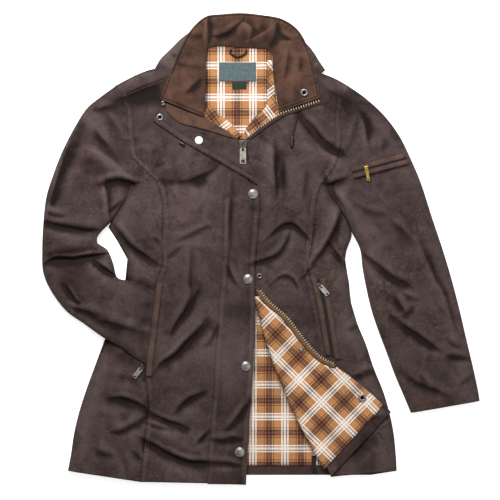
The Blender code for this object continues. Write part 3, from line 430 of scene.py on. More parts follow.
def moulded(name, deep, pale):
    """A dull moulded plastic with a fine spark-eroded grain."""
    made, shader, at = finish(name, 0.42, specular=0.4)
    grain = at.noise(1400.0, 2.0)
    feed(shader, base_color=grain.pick(deep, pale), normal=bump(grain, 0.15, 0.0002))
    return made


PEWTER = metal("pewter_satin", rgb(150, 142, 132), rgb(226, 218, 206), 0.42)
SNAP = metal("snap_satin", rgb(108, 103, 98), rgb(194, 189, 181), 0.42)
SLIDER = metal("slider_tarnished", rgb(62, 56, 51), rgb(132, 124, 114), 0.40)
BRASS = metal("brass_satin", rgb(176, 132, 62), rgb(244, 208, 128), 0.30)
TEETH = metal("zip_teeth_antique", rgb(158, 136, 104), rgb(232, 214, 182), 0.38, 0.35)
ENAMEL = metal("snap_back_pale", rgb(226, 226, 222), rgb(246, 246, 244), 0.5, 0.0)
PLASTIC = moulded("dark_plastic_grain", rgb(24, 22, 23), rgb(44, 40, 40))
print("made the metals and the plastic")

# %% [markdown]
# ## How the fronts lie
#
# The jacket lies on its back, so its fronts form one low pillow over the back. The
# seams are short tables of plan points, and a smooth curve runs through each. The
# height is the pillow, plus broad folds that the solids have too, plus the narrow
# creases that only show close up. Every piece that lies on the fronts asks the same
# function for its height, so nothing floats and nothing sinks.

# %% Seam curves and the broad lie, as in the solids
CLOTH = 0.0018
LINING = 0.0012
BACK = 0.0016
LIE = 0.0008
SEAM = 0.0002
ARMHOLE_GAP = -0.0005
EDGE_Z = 0.0034
EDGE_REACH = 0.030
STEP = 0.0027

# Plan points from the top down: x, y
ARMHOLE_R = [(-0.278, 0.306), (-0.268, 0.266), (-0.266, 0.226), (-0.260, 0.184)]
PRINCESS_R = [
    (-0.260, 0.184), (-0.230, 0.156), (-0.206, 0.130), (-0.198, 0.094), (-0.196, 0.054),
    (-0.198, 0.008), (-0.198, -0.030), (-0.210, -0.072), (-0.216, -0.122), (-0.222, -0.172),
    (-0.228, -0.218), (-0.230, -0.258), (-0.226, -0.302), (-0.228, -0.346), (-0.232, -0.388),
    (-0.238, -0.434), (-0.242, -0.466)]
SIDE_R = [
    (-0.260, 0.170), (-0.258, 0.152), (-0.256, 0.132), (-0.272, 0.100), (-0.302, 0.052),
    (-0.286, 0.016), (-0.268, -0.020), (-0.272, -0.060), (-0.288, -0.108), (-0.302, -0.152),
    (-0.318, -0.194), (-0.332, -0.232), (-0.346, -0.270), (-0.362, -0.318), (-0.374, -0.366),
    (-0.381, -0.412), (-0.387, -0.444)]
NECK_R = [(-0.166, 0.352), (-0.146, 0.314), (-0.112, 0.262), (-0.046, 0.220)]
CENTRE_R = [
    (-0.046, 0.220), (-0.032, 0.182), (-0.026, 0.142), (-0.024, 0.102), (-0.024, 0.058),
    (-0.024, 0.012), (-0.026, -0.028), (-0.028, -0.072), (-0.030, -0.122), (-0.032, -0.172),
    (-0.034, -0.218), (-0.036, -0.262), (-0.038, -0.306), (-0.040, -0.350), (-0.042, -0.394),
    (-0.044, -0.436), (-0.046, -0.470)]
ARMHOLE_L = [(0.164, 0.304), (0.158, 0.262), (0.160, 0.218), (0.150, 0.170)]
PRINCESS_L = [
    (0.150, 0.170), (0.134, 0.146), (0.118, 0.122), (0.110, 0.094), (0.106, 0.058),
    (0.102, 0.022), (0.098, -0.010), (0.094, -0.038), (0.102, -0.070), (0.112, -0.114),
    (0.120, -0.162), (0.128, -0.210), (0.136, -0.258), (0.142, -0.310), (0.148, -0.362),
    (0.154, -0.410), (0.158, -0.454)]
SIDE_L = [
    (0.148, 0.158), (0.142, 0.143), (0.137, 0.130), (0.152, 0.094), (0.172, 0.058),
    (0.182, 0.030), (0.172, -0.002), (0.168, -0.026), (0.176, -0.064), (0.180, -0.104),
    (0.192, -0.146), (0.210, -0.190), (0.226, -0.238), (0.248, -0.294), (0.264, -0.358),
    (0.270, -0.410), (0.272, -0.444)]
NECK_L = [(0.094, 0.339), (0.074, 0.314), (0.034, 0.268), (-0.032, 0.220)]
CENTRE_L = [
    (-0.032, 0.220), (-0.025, 0.182), (-0.019, 0.142), (-0.017, 0.102), (-0.017, 0.058),
    (-0.017, 0.012), (-0.019, -0.028), (-0.018, -0.066), (-0.006, -0.112), (0.008, -0.166),
    (0.028, -0.226), (0.050, -0.282), (0.074, -0.334), (0.096, -0.378), (0.114, -0.410),
    (0.130, -0.438), (0.140, -0.456)]

# Outline above the armpits: y, left x, right x
UPPER_OUTLINE = [
    (0.148, -0.300, 0.185), (0.180, -0.398, 0.286), (0.238, -0.376, 0.272), (0.278, -0.352, 0.236),
    (0.298, -0.332, 0.214), (0.318, -0.308, 0.190), (0.338, -0.278, 0.156), (0.356, -0.232, 0.132),
    (0.380, -0.200, 0.110)]

# Height of the pillow: y, top
CROWN = [
    (-0.480, 0.0125), (-0.440, 0.0132), (-0.360, 0.0150), (-0.290, 0.0165), (-0.200, 0.0180),
    (-0.100, 0.0180), (0.000, 0.0170), (0.100, 0.0180), (0.180, 0.0175), (0.240, 0.0150),
    (0.290, 0.0130), (0.340, 0.0122), (0.380, 0.0115)]

# Broad folds: from x, y, to x, y, half width, height
FRONT_FOLDS = [
    (-0.190, 0.136, -0.124, 0.134, 0.016, -0.0040),
    (-0.124, 0.134, -0.096, 0.166, 0.014, -0.0035),
    (-0.288, 0.018, -0.216, -0.026, 0.016, -0.0050),
    (-0.140, 0.040, -0.100, 0.058, 0.018, -0.0030),
    (-0.130, -0.080, -0.172, -0.158, 0.022, -0.0030),
    (-0.104, -0.158, -0.186, -0.230, 0.018, -0.0055),
    (-0.300, -0.300, -0.232, -0.312, 0.018, -0.0040),
    (-0.226, -0.330, -0.154, -0.354, 0.016, -0.0040),
    (-0.222, -0.390, -0.116, -0.430, 0.018, -0.0030),
    (-0.160, -0.320, -0.122, -0.288, 0.018, -0.0035),
    (0.014, 0.190, 0.014, 0.040, 0.016, 0.0040),
    (0.036, 0.176, 0.038, 0.130, 0.016, -0.0030),
    (0.024, 0.036, 0.060, 0.052, 0.016, -0.0035),
    (0.060, 0.052, 0.088, 0.026, 0.016, -0.0035),
    (0.004, -0.020, 0.050, 0.022, 0.016, -0.0035),
    (0.152, 0.078, 0.094, -0.030, 0.018, 0.0055),
    (0.140, 0.010, 0.162, -0.030, 0.016, -0.0040),
    (0.088, 0.264, 0.156, 0.196, 0.018, -0.0040),
    (-0.026, -0.130, -0.046, -0.480, 0.040, -0.0050),
    (0.080, -0.160, 0.190, -0.330, 0.055, -0.0050),
    (0.100, -0.300, 0.180, -0.420, 0.050, -0.0030),
]
PRESS = (-0.270, -0.140, -0.205, -0.150)
PRESS_WIDTH = 0.080
PRESS_DEPTH = 0.0098
PRESS_STEEPER = 1.6
POCKET_FILL = (-0.196, -0.100, -0.204, -0.200, 0.045, 0.0030)
SPAN_ROWS = 15


def through(table, per_span=SPAN_ROWS):
    """A cubic through each span of a table, bent by the two points beside it."""
    knots = np.array(table, dtype=float)
    padded = np.vstack([2 * knots[0] - knots[1], knots, 2 * knots[-1] - knots[-2]])
    a, b, c, d = (padded[k:len(padded) - 3 + k, None, :] for k in range(4))
    t = (np.arange(per_span) / per_span)[None, :, None]
    bend = (2 * a - 5 * b + 4 * c - d) * t ** 2 + (3 * b - a - 3 * c + d) * t ** 3
    spans = b + 0.5 * ((c - a) * t + bend)
    return np.vstack([spans.reshape(-1, knots.shape[1]), knots[-1:]])


def join(*curves):
    """One curve after another, the shared end point kept once."""
    return np.vstack([curves[0]] + [curve[1:] for curve in curves[1:]])


def edge_rise(distance, reach):
    """Quarter round: the square root of one less the square of the way still to go."""
    inward = np.clip(distance / reach, 0.0, 1.0)
    return np.sqrt(np.clip(1.0 - (1.0 - inward) ** 2, 0.0, 1.0))


def folds(x, y, table):
    """Sum of soft ridges: height times a bell over the distance from each line."""
    shape = (-1,) + (1,) * np.ndim(x)
    x0, y0, x1, y1, width, height = (column.reshape(shape) for column in np.array(table).T)
    run_x, run_y = x1 - x0, y1 - y0
    share = ((x - x0) * run_x + (y - y0) * run_y) / (run_x ** 2 + run_y ** 2)
    share = np.clip(share, 0.0, 1.0)
    away = (x - x0 - share * run_x) ** 2 + (y - y0 - share * run_y) ** 2
    return (height * np.exp(-away / width ** 2)).sum(axis=0)


armhole_r, princess_r, side_r = through(ARMHOLE_R), through(PRINCESS_R), through(SIDE_R)
neck_r, centre_r = through(NECK_R), through(CENTRE_R)
armhole_l, princess_l, side_l = through(ARMHOLE_L), through(PRINCESS_L), through(SIDE_L)
neck_l, centre_l = through(NECK_L), through(CENTRE_L)
print("points along a princess seam:", len(princess_r))

# %% [markdown]
# ## Creases
#
# A crease in waxed cloth is a narrow valley with a roll of cloth pushed up on one side
# of it, and it runs out towards both ends. So the height across it is a narrow bell
# less a wider one beside it, and along it the depth fades. A bow bends the line. The
# tables give one row for each crease that can be seen on the jacket.
#
# Between them the cloth is crumpled. Value noise, random heights on a lattice joined
# smoothly, gives that, with a fixed seed so it is the same on every run.

# %% Creases and crumple
# From x, y, to x, y, bow to the right of that way, width of the steep left side,
# width of the slow right side, height
UNDERARM_CREASES = [
    (-0.318, 0.134, -0.254, 0.128, -0.004, 0.005, 0.018, -0.0090),
    (-0.302, 0.046, -0.310, 0.136, 0.004, 0.005, 0.016, -0.0070),
    (-0.302, 0.072, -0.268, 0.096, 0.000, 0.004, 0.008, -0.0040),
    (0.130, 0.146, 0.162, 0.078, 0.000, 0.006, 0.010, -0.0080),
]
FRONT_CREASES = UNDERARM_CREASES + [
    (-0.284, 0.298, -0.196, 0.334, 0.002, 0.011, 0.024, -0.0046),
    (-0.206, 0.135, -0.088, 0.172, 0.017, 0.005, 0.012, -0.0018),
    (-0.222, 0.170, -0.186, 0.168, 0.002, 0.006, 0.010, -0.0009),
    (-0.160, 0.020, -0.104, 0.046, 0.000, 0.006, 0.016, -0.0040),
    (-0.182, -0.012, -0.154, 0.006, 0.000, 0.005, 0.010, -0.0022),
    (-0.142, -0.096, -0.136, 0.000, 0.002, 0.006, 0.014, -0.0020),
    (-0.174, -0.160, -0.124, -0.080, 0.003, 0.006, 0.013, -0.0036),
    (-0.306, 0.054, -0.210, -0.028, 0.008, 0.006, 0.014, -0.0056),
    (-0.218, 0.026, -0.198, 0.006, -0.003, 0.004, 0.008, -0.0024),
    (-0.206, -0.240, -0.120, -0.156, 0.003, 0.005, 0.013, -0.0066),
    (-0.116, -0.196, -0.088, -0.156, 0.003, 0.006, 0.012, -0.0034),
    (-0.178, -0.168, -0.140, -0.094, 0.002, 0.006, 0.012, -0.0038),
    (-0.300, -0.300, -0.226, -0.320, -0.004, 0.005, 0.014, -0.0056),
    (-0.292, -0.364, -0.228, -0.338, 0.003, 0.005, 0.011, -0.0050),
    (-0.218, -0.328, -0.148, -0.356, 0.003, 0.005, 0.011, -0.0054),
    (-0.226, -0.350, -0.192, -0.358, 0.001, 0.004, 0.008, -0.0030),
    (-0.170, -0.324, -0.116, -0.286, -0.003, 0.006, 0.012, -0.0044),
    (-0.230, -0.386, -0.098, -0.430, 0.006, 0.005, 0.017, -0.0084),
    (-0.126, -0.388, -0.100, -0.366, 0.000, 0.005, 0.010, -0.0034),
    (-0.258, -0.404, -0.242, -0.426, 0.000, 0.005, 0.009, -0.0022),
    (-0.332, -0.400, -0.296, -0.412, 0.002, 0.006, 0.012, -0.0026),
    (-0.060, 0.012, -0.058, 0.100, -0.002, 0.004, 0.010, -0.0030),
    (-0.064, -0.036, -0.044, -0.078, 0.002, 0.004, 0.009, -0.0026),
    (-0.068, -0.364, -0.022, -0.302, 0.002, 0.005, 0.012, -0.0044),
    (-0.092, -0.382, -0.042, -0.383, 0.001, 0.004, 0.010, -0.0044),
    (-0.094, -0.426, -0.044, -0.436, 0.001, 0.005, 0.010, -0.0036),
    (0.027, 0.110, 0.030, 0.204, 0.000, 0.005, 0.012, -0.0034),
    (0.040, 0.110, 0.044, 0.172, 0.000, 0.006, 0.012, -0.0026),
    (0.018, 0.032, 0.092, 0.026, -0.022, 0.006, 0.011, -0.0054),
    (-0.012, -0.028, 0.054, 0.028, 0.012, 0.006, 0.011, -0.0058),
    (0.024, -0.066, 0.074, -0.078, -0.016, 0.005, 0.010, -0.0040),
    (0.092, -0.040, 0.162, 0.088, 0.010, 0.004, 0.014, -0.0088),
    (0.130, 0.014, 0.168, -0.034, 0.002, 0.004, 0.009, -0.0064),
    (0.080, 0.270, 0.160, 0.194, 0.004, 0.006, 0.016, -0.0068),
    (0.126, 0.210, 0.156, 0.190, 0.000, 0.0035, 0.006, -0.0038),
    (0.082, 0.104, 0.092, 0.150, 0.000, 0.007, 0.012, -0.0022),
    (0.184, -0.258, 0.232, -0.242, 0.002, 0.006, 0.012, -0.0040),
    (0.172, -0.164, 0.206, -0.146, 0.002, 0.006, 0.012, -0.0034),
    (0.206, -0.350, 0.256, -0.330, 0.002, 0.006, 0.012, -0.0036),
]
SLEEVE_CREASES = UNDERARM_CREASES + [
    (-0.424, 0.070, -0.342, 0.284, -0.010, 0.006, 0.016, -0.0062),
    (-0.306, 0.268, -0.270, 0.218, 0.002, 0.006, 0.014, -0.0050),
    (-0.336, 0.278, -0.270, 0.292, 0.003, 0.006, 0.018, -0.0060),
    (-0.330, 0.236, -0.296, 0.196, 0.002, 0.006, 0.014, -0.0034),
    (-0.334, 0.196, -0.262, 0.142, -0.004, 0.006, 0.012, 0.0034),
    (-0.434, 0.056, -0.326, 0.038, 0.006, 0.006, 0.013, -0.0056),
    (-0.430, 0.076, -0.394, 0.064, 0.002, 0.005, 0.009, -0.0044),
    (-0.428, -0.028, -0.302, -0.004, -0.003, 0.0035, 0.020, -0.0098),
    (-0.330, -0.024, -0.282, -0.052, 0.002, 0.004, 0.010, -0.0066),
    (-0.394, -0.072, -0.364, -0.106, 0.001, 0.004, 0.009, -0.0052),
    (-0.384, -0.114, -0.324, -0.130, 0.003, 0.006, 0.012, -0.0042),
    (-0.326, -0.140, -0.238, -0.164, 0.004, 0.008, 0.016, -0.0036),
    (0.168, 0.302, 0.240, 0.274, -0.004, 0.005, 0.016, -0.0031),
    (0.212, 0.296, 0.278, 0.218, -0.004, 0.006, 0.012, -0.0030),
    (0.220, 0.210, 0.198, 0.274, 0.006, 0.006, 0.010, -0.0037),
    (0.170, 0.198, 0.194, 0.258, 0.000, 0.006, 0.010, -0.0030),
    (0.242, 0.194, 0.247, 0.226, 0.000, 0.006, 0.010, -0.0014),
    (0.180, 0.094, 0.242, 0.068, 0.004, 0.006, 0.012, -0.0014),
    (0.258, 0.052, 0.304, 0.014, 0.002, 0.006, 0.012, -0.0020),
    (0.196, 0.000, 0.292, -0.074, 0.004, 0.006, 0.015, -0.0043),
    (0.264, -0.098, 0.286, -0.128, 0.001, 0.005, 0.009, -0.0028),
    (0.282, -0.092, 0.312, -0.104, 0.001, 0.004, 0.008, -0.0018),
    (0.284, -0.140, 0.304, -0.114, 0.001, 0.005, 0.009, -0.0022),
    (0.258, -0.134, 0.348, -0.198, 0.003, 0.005, 0.013, -0.0040),
    (0.266, -0.238, 0.370, -0.296, 0.004, 0.007, 0.015, -0.0037),
    (0.316, -0.252, 0.336, -0.274, 0.001, 0.005, 0.009, -0.0019),
    (0.376, -0.214, 0.420, -0.220, 0.001, 0.005, 0.010, -0.0025),
    (0.372, -0.180, 0.396, -0.200, 0.001, 0.005, 0.010, -0.0017),
    (0.390, -0.150, 0.316, 0.018, 0.004, 0.007, 0.014, -0.0028),
    (0.398, -0.276, 0.424, -0.246, 0.001, 0.006, 0.010, -0.0017),
]
CREASE_DEPTH = 0.82
STEEPEN = 0.78
CRISP = 2.6
ROLL = 0.40
ROLL_PLACE = 2.2
ROLL_WIDTH = 1.7
RUN_OUT = 0.22
WANDER = 0.0050
WANDER_SIZE = 0.045
LATTICE = 160

# Heights of the small crumples
SWELL = 0.0009
CROSS_SWELL = 0.0006
FINE_CRUMPLE = 0.0012
CRISP_LINE = 0.0006


def crumple(x, y, size, seed):
    """Value noise from -1 to 1: random lattice heights joined by smooth steps."""
    lattice = np.random.default_rng(seed).uniform(-1.0, 1.0, (LATTICE, LATTICE))
    column, row = (x + 1.0) / size, (y + 1.0) / size
    last = LATTICE - 1
    i, j = np.floor(column).astype(int) % last, np.floor(row).astype(int) % last
    s, t = column - np.floor(column), row - np.floor(row)
    s, t = s * s * (3.0 - 2.0 * s), t * t * (3.0 - 2.0 * t)
    low = lattice[i, j] * (1.0 - s) + lattice[i + 1, j] * s
    high = lattice[i, j + 1] * (1.0 - s) + lattice[i + 1, j + 1] * s
    return low * (1.0 - t) + high * t


def creases(x, y, table):
    """Sum of valleys, steep on the left and slow on the right, with a roll left of the steep side.

    A slow wander bends every line. Depth and width run out to nothing past both ends.
    """
    aside = WANDER * crumple(x, y, WANDER_SIZE, 21)
    x, y = x + aside, y + WANDER * crumple(x, y, WANDER_SIZE, 22)
    shape = (-1,) + (1,) * np.ndim(x)
    x0, y0, x1, y1, bow, steep, slow, height = (column.reshape(shape) for column in np.array(table).T)
    steep = STEEPEN * steep
    length = np.hypot(x1 - x0, y1 - y0)
    ahead_x, ahead_y = (x1 - x0) / length, (y1 - y0) / length
    share = ((x - x0) * ahead_x + (y - y0) * ahead_y) / length
    share = np.clip(share, -RUN_OUT, 1.0 + RUN_OUT)
    across = (x - x0) * ahead_y - (y - y0) * ahead_x - bow * 4.0 * share * (1.0 - share)
    middle = (2.0 * share - 1.0) / (1.0 + 2.0 * RUN_OUT)
    fade = (1.0 - middle ** 2) ** 1.5
    narrow = 0.55 + 0.45 * fade
    valley = np.exp(-(across / (narrow * np.where(across < 0.0, steep, slow))) ** 2)
    roll = np.exp(-((across + ROLL_PLACE * steep) / (ROLL_WIDTH * steep)) ** 2)
    return CREASE_DEPTH * (height * fade * (valley - ROLL * roll)).sum(axis=0)


def crisp(x, y, size, seed):
    """Narrow ridges along the lines where a crumple passes zero, 1 on the line and 0 away from it."""
    return (1.0 - np.minimum(np.abs(crumple(x, y, size, seed)) * CRISP, 1.0)) ** 2


def rumple(x, y):
    """Small crumples: slow swells over most of the cloth, and in patches finer ones and crisp lines."""
    swell = SWELL * crumple(x, y, 0.062, 3)
    swell = swell + CROSS_SWELL * crumple(0.8 * x + 0.6 * y, y - 0.5 * x, 0.030, 4)
    patch = np.clip(crumple(x, y, 0.09, 5), 0.0, 1.0)
    fine = FINE_CRUMPLE * patch * crumple(0.6 * x - 0.8 * y, 0.8 * x + 0.6 * y, 0.016, 6)
    handled = np.clip(0.4 + crumple(x, y, 0.11, 8), 0.0, 1.0)
    lines = crisp(x + 0.6 * y, y - 0.3 * x, 0.055, 7) - crisp(x - 0.4 * y, y + 0.5 * x, 0.046, 9)
    return swell + fine + CRISP_LINE * handled * lines


# Places of snaps, sliders and cord ends, where the cloth lies quiet: x, y, reach
TRIMS = np.array([
    (-0.016, 0.110, 0.018), (-0.026, -0.060, 0.018), (-0.030, -0.234, 0.018), (-0.042, -0.406, 0.018),
    (-0.202, 0.263, 0.015), (-0.124, 0.217, 0.015), (-0.0035, -0.054, 0.012), (0.086, 0.312, 0.015),
    (0.202, -0.297, 0.015), (0.080, -0.201, 0.012), (-0.036, 0.206, 0.020), (-0.036, 0.182, 0.018),
    (-0.244, -0.244, 0.018), (0.124, -0.080, 0.018), (0.212, 0.152, 0.020), (0.062, 0.216, 0.016),
    (0.066, 0.242, 0.012), (-0.158, 0.210, 0.014)])


def quiet(x, y):
    """1 over open cloth, 0 under a trim: one less a bell, multiplied over all trims."""
    away = (np.asarray(x)[..., None] - TRIMS[:, 0]) ** 2 + (np.asarray(y)[..., None] - TRIMS[:, 1]) ** 2
    return np.prod(1.0 - np.exp(-(away / TRIMS[:, 2] ** 2) ** 2), axis=-1)


UPPER = np.array(UPPER_OUTLINE)
LEFT_EDGE = np.vstack([UPPER[::-1, [1, 0]], through(SIDE_R[2:])])[::-1]
RIGHT_EDGE = np.vstack([UPPER[::-1, [2, 0]], through(SIDE_L[2:])])[::-1]
CROWN_ROWS = np.array(CROWN)


def front_top(x, y):
    """Pillow rounded at the side edges, plus folds, creases and crumple."""
    left = np.interp(y, LEFT_EDGE[:, 1], LEFT_EDGE[:, 0])
    right = np.interp(y, RIGHT_EDGE[:, 1], RIGHT_EDGE[:, 0])
    rise = edge_rise(np.minimum(x - left, right - x), EDGE_REACH)
    height = np.interp(y, CROWN_ROWS[:, 0], CROWN_ROWS[:, 1]) - EDGE_Z
    height = height + folds(x, y, FRONT_FOLDS + [POCKET_FILL])
    height = height + quiet(x, y) * (creases(x, y, FRONT_CREASES) + rumple(x, y))
    return EDGE_Z + np.maximum(height, 0.0) * rise


def side_top(x, y):
    """The fronts, pressed down where the tucked forearm lies on the side panel."""
    press = np.minimum(folds(x, y, [PRESS + (PRESS_WIDTH, PRESS_STEEPER * PRESS_DEPTH)]), PRESS_DEPTH)
    return np.maximum(front_top(x, y) - press - folds(x, y, [POCKET_FILL]), EDGE_Z)


print("creases:", len(FRONT_CREASES), "on the fronts,", len(SLEEVE_CREASES), "on the sleeves")

# %% [markdown]
# ## From a grid of points to a piece of cloth
#
# A piece is a grid: rows run down the garment and columns across it. The grid becomes
# a mesh with two things on it: a map in metres, called cut, for patterns that follow
# the cloth, and a value for painted shade and light, which is how far a point stands
# above the mean of its neighbours; the finishes paint hollows darker and ridges paler.
# On the waxed cloth a table of patches is added to it, some of painted shade and some of
# painted light. Solidify gives the cloth its thickness. The flat size is measured on the
# grid, along its longest row and column.
#
# A piece that lies on another reads its height from that one's grid: every point takes
# the mean of the nearest points, weighted by one over the distance to the fourth.

# %% Cloth from a grid
REST_MARGIN = 0.02
REST_SOFT = 1e-7

# Relief close by and far off, painted as shade and light: reach in grid steps, height that counts as 1,
# share of the value
NEAR, NEAR_UNIT, NEAR_SHARE = 3, 0.0010, 0.45
FAR, FAR_UNIT, FAR_SHARE = 12, 0.0045, 0.55

# Patches of painted shade, amount below 0, and of painted light, amount above 0: x, y, reach, amount
WAX_SHADE_AND_LIGHT = [
    (-0.250, 0.304, 0.022, -0.55), (-0.222, 0.310, 0.022, -0.60), (-0.203, 0.300, 0.016, -0.40),
    (-0.300, 0.290, 0.022, -0.45), (-0.352, 0.188, 0.055, -0.28), (-0.402, 0.108, 0.022, -0.35),
    (-0.418, 0.016, 0.022, -0.60), (-0.372, -0.040, 0.044, -0.95), (-0.405, -0.030, 0.025, -0.40),
    (-0.302, -0.168, 0.030, -0.60), (-0.165, 0.060, 0.060, 0.50), (-0.150, 0.200, 0.030, 0.45),
    (-0.234, 0.342, 0.030, -0.20), (0.190, 0.330, 0.026, -0.15),
    (-0.045, -0.220, 0.060, 0.75), (0.000, 0.050, 0.030, -0.20), (0.004, -0.030, 0.028, -0.20),
    (0.150, 0.300, 0.022, -0.50), (0.185, 0.292, 0.026, -0.60), (0.225, 0.262, 0.022, -0.55),
    (0.262, 0.222, 0.020, -0.45), (0.340, -0.200, 0.070, -0.15), (0.210, -0.390, 0.040, -0.35),
    (-0.300, -0.202, 0.012, -0.60), (-0.276, -0.214, 0.012, -0.65), (-0.254, -0.228, 0.012, -0.50),
    (-0.262, -0.060, 0.010, -0.60), (-0.244, -0.066, 0.010, -0.60), (-0.228, -0.076, 0.010, -0.50),
    (-0.226, -0.110, 0.010, -0.45), (-0.231, -0.142, 0.010, -0.45), (-0.236, -0.176, 0.010, -0.45),
]


def patched(x, y, patches):
    """Sum of bells: amount times the exponential of minus the squared distance over reach."""
    table = np.array(patches)
    away = (x[..., None] - table[:, 0]) ** 2 + (y[..., None] - table[:, 1]) ** 2
    return (table[:, 3] * np.exp(-away / table[:, 2] ** 2)).sum(axis=-1)


def blurred(height, reach):
    """The mean over a square of reach steps each way, from running sums along both ways."""
    for way in (0, 1):
        size = height.shape[way]
        margin = [(0, 0), (0, 0)]
        margin[way] = (reach + 1, reach)
        total = np.cumsum(np.pad(height, margin, mode="edge"), axis=way)
        ahead = np.take(total, np.arange(size) + 2 * reach + 1, axis=way)
        height = (ahead - np.take(total, np.arange(size), axis=way)) / (2 * reach + 1)
    return height


def relief(points):
    """Height over the mean close by and over the mean far off, each held to its unit, added in shares."""
    height = points[..., 2]
    near = np.clip((height - blurred(height, NEAR)) / NEAR_UNIT, -1.0, 1.0)
    far = np.clip((height - blurred(height, FAR)) / FAR_UNIT, -1.0, 1.0)
    return NEAR_SHARE * near + FAR_SHARE * far


def grid_mesh(name, points, cut=None, around=False, tone=0.0):
    """Quads between neighbouring grid points, with the cut map and the value for painted shade and light,
    plus a tone.
    """
    rows, columns = points.shape[:2]
    index = np.arange(rows * columns).reshape(rows, columns)
    right = np.roll(index, -1, axis=1)
    last = columns if around else columns - 1
    corners = (index[:-1, :last], index[1:, :last], right[1:, :last], right[:-1, :last])
    quads = np.stack(corners, axis=-1).reshape(-1, 4)
    mesh = bpy.data.meshes.new(name)
    mesh.from_pydata(points.reshape(-1, 3), [], quads)
    cut = points[..., :2] if cut is None else cut
    layer = mesh.uv_layers.new(name="cut")
    layer.data.foreach_set("uv", cut.reshape(-1, 2)[quads.ravel()].astype(np.float32).ravel())
    wear = mesh.attributes.new("wear", "FLOAT", "POINT")
    wear.data.foreach_set("value", (relief(points) + tone).astype(np.float32).ravel())
    mesh.polygons.foreach_set("use_smooth", np.ones(len(quads), dtype=bool))
    return mesh


def put(name, mesh, look, slot, *nodes):
    """Place a mesh as a piece on the jacket, standing for the given solids."""
    made = bpy.data.objects.new(name, mesh)
    mesh.materials.append(look)
    bpy.context.scene.collection.objects.link(made)
    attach(made, BODY)
    if nodes:
        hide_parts(*nodes)
    return made


def spread(points, around=False):
    """Width, length and area of a grid laid flat, in metres."""
    wrapped = np.concatenate([points, points[:, :1]], axis=1) if around else points
    width = np.linalg.norm(np.diff(wrapped, axis=1), axis=2).sum(axis=1).max()
    length = np.linalg.norm(np.diff(wrapped, axis=0), axis=2).sum(axis=0).max()
    one = wrapped[1:, 1:] - wrapped[:-1, :-1]
    other = wrapped[1:, :-1] - wrapped[:-1, 1:]
    area = 0.5 * np.linalg.norm(np.cross(one, other), axis=2).sum()
    return float(width), float(length), float(area)


def cloth(node, points, look, slot, thickness, cut=None, around=False,
          patches=None):
    """A sheet of cloth from a grid, its outer face on the grid."""
    # Patches of painted shade and light: the waxed table on waxed cotton, or the table passed in.
    patches = WAX_SHADE_AND_LIGHT if look is WAX else patches
    tone = patched(points[..., 0], points[..., 1], patches) if patches else 0.0
    made = put(node + "_cloth", grid_mesh(node + "_cloth", points, cut, around, tone), look, slot, node)
    wall = made.modifiers.new("thickness", "SOLIDIFY")
    wall.thickness = thickness
    wall.offset = -1.0
    width, length, area = spread(points, around)
    print("%s: %.0f x %.0f mm, %.3f square metres" % (node, 1000 * width, 1000 * length, area))


def smooth_step(value):
    """0 below 0, 1 above 1, with a smooth way between."""
    value = np.clip(value, 0.0, 1.0)
    return value * value * (3.0 - 2.0 * value)


def resting(points):
    """A height function over a grid: nearby points weighted by one over distance to the fourth."""
    flat_points = points.reshape(-1, 3)

    def top(x, y):
        """The weighted mean of the grid's heights in the box round the asked points."""
        near = np.abs(flat_points[:, 0] - x.mean()) < np.ptp(x) / 2 + REST_MARGIN
        near &= np.abs(flat_points[:, 1] - y.mean()) < np.ptp(y) / 2 + REST_MARGIN
        known = flat_points[near]
        away = (x[..., None] - known[:, 0]) ** 2 + (y[..., None] - known[:, 1]) ** 2
        weight = 1.0 / (away + REST_SOFT) ** 2
        return (weight * known[:, 2]).sum(axis=-1) / weight.sum(axis=-1)

    return top


# %% [markdown]
# ## Panels between two seams
#
# A panel fills the space between a seam on its left and one on its right. Sewing draws
# the cloth up a little, so beside a seam it puckers: short waves along the seam that
# die out within a finger's width. A lapped seam is also thicker where the cloth is
# turned under, which leaves a low step beside the stitches.

# %% Panels
PUCKER_WAVE = 0.0105
PUCKER_REACH = 0.0085
PUCKER_WANDER = 5.0
LAP_WIDTH = 0.0085
LAP_FADE = 0.0025
LAP_HEIGHT = 0.0010


def run_length(curve):
    """Distance along a curve at each of its points."""
    steps = np.linalg.norm(np.diff(curve, axis=0), axis=1)
    return np.concatenate([[0.0], np.cumsum(steps)])


def pucker(distance, along, seed):
    """Waves along a seam: a sine whose phase wanders, dying away from the seam."""
    wander = PUCKER_WANDER * crumple(along, np.zeros_like(along), 0.037, seed)
    strength = 0.55 + 0.45 * crumple(along, np.ones_like(along), 0.052, seed + 40)
    wave = strength * np.sin(2.0 * math.pi * along / PUCKER_WAVE + wander)
    return wave * np.exp(-(distance / PUCKER_REACH) ** 2)


def across(left, right, columns=None, inset=SEAM / 2):
    """Plan points from left to right in each row, held back from both seams."""
    run = right - left
    width = np.linalg.norm(run, axis=1)[:, None]
    if columns is None:
        columns = np.linspace(0.0, 1.0, max(4, int(round(width.max() / STEP))) + 1)
    share = inset / width + columns[None, :] * (1.0 - 2.0 * inset / width)
    return left[:, None, :] + share[..., None] * run[:, None, :], share * width, width


def panel_points(left, right, top, lift=0.0, columns=None, sewn=(0.0, 0.0), lapped=(0, 0), inset=SEAM / 2):
    """A panel's grid: the height that top gives, its puckers and its lapped edges."""
    plan, from_left, width = across(left, right, columns, inset)
    height = top(plan[..., 0], plan[..., 1]) + lift
    ends = ((from_left, left, 11), (width - from_left, right, 12))
    for (distance, seam, seed), draw, lap in zip(ends, sewn, lapped):
        along = np.broadcast_to(run_length(seam)[:, None], distance.shape)
        height = height + draw * pucker(distance, along, seed)
        height = height + lap * LAP_HEIGHT * (1.0 - smooth_step((distance - LAP_WIDTH) / LAP_FADE))
    return np.concatenate([plan, height[..., None]], axis=-1)


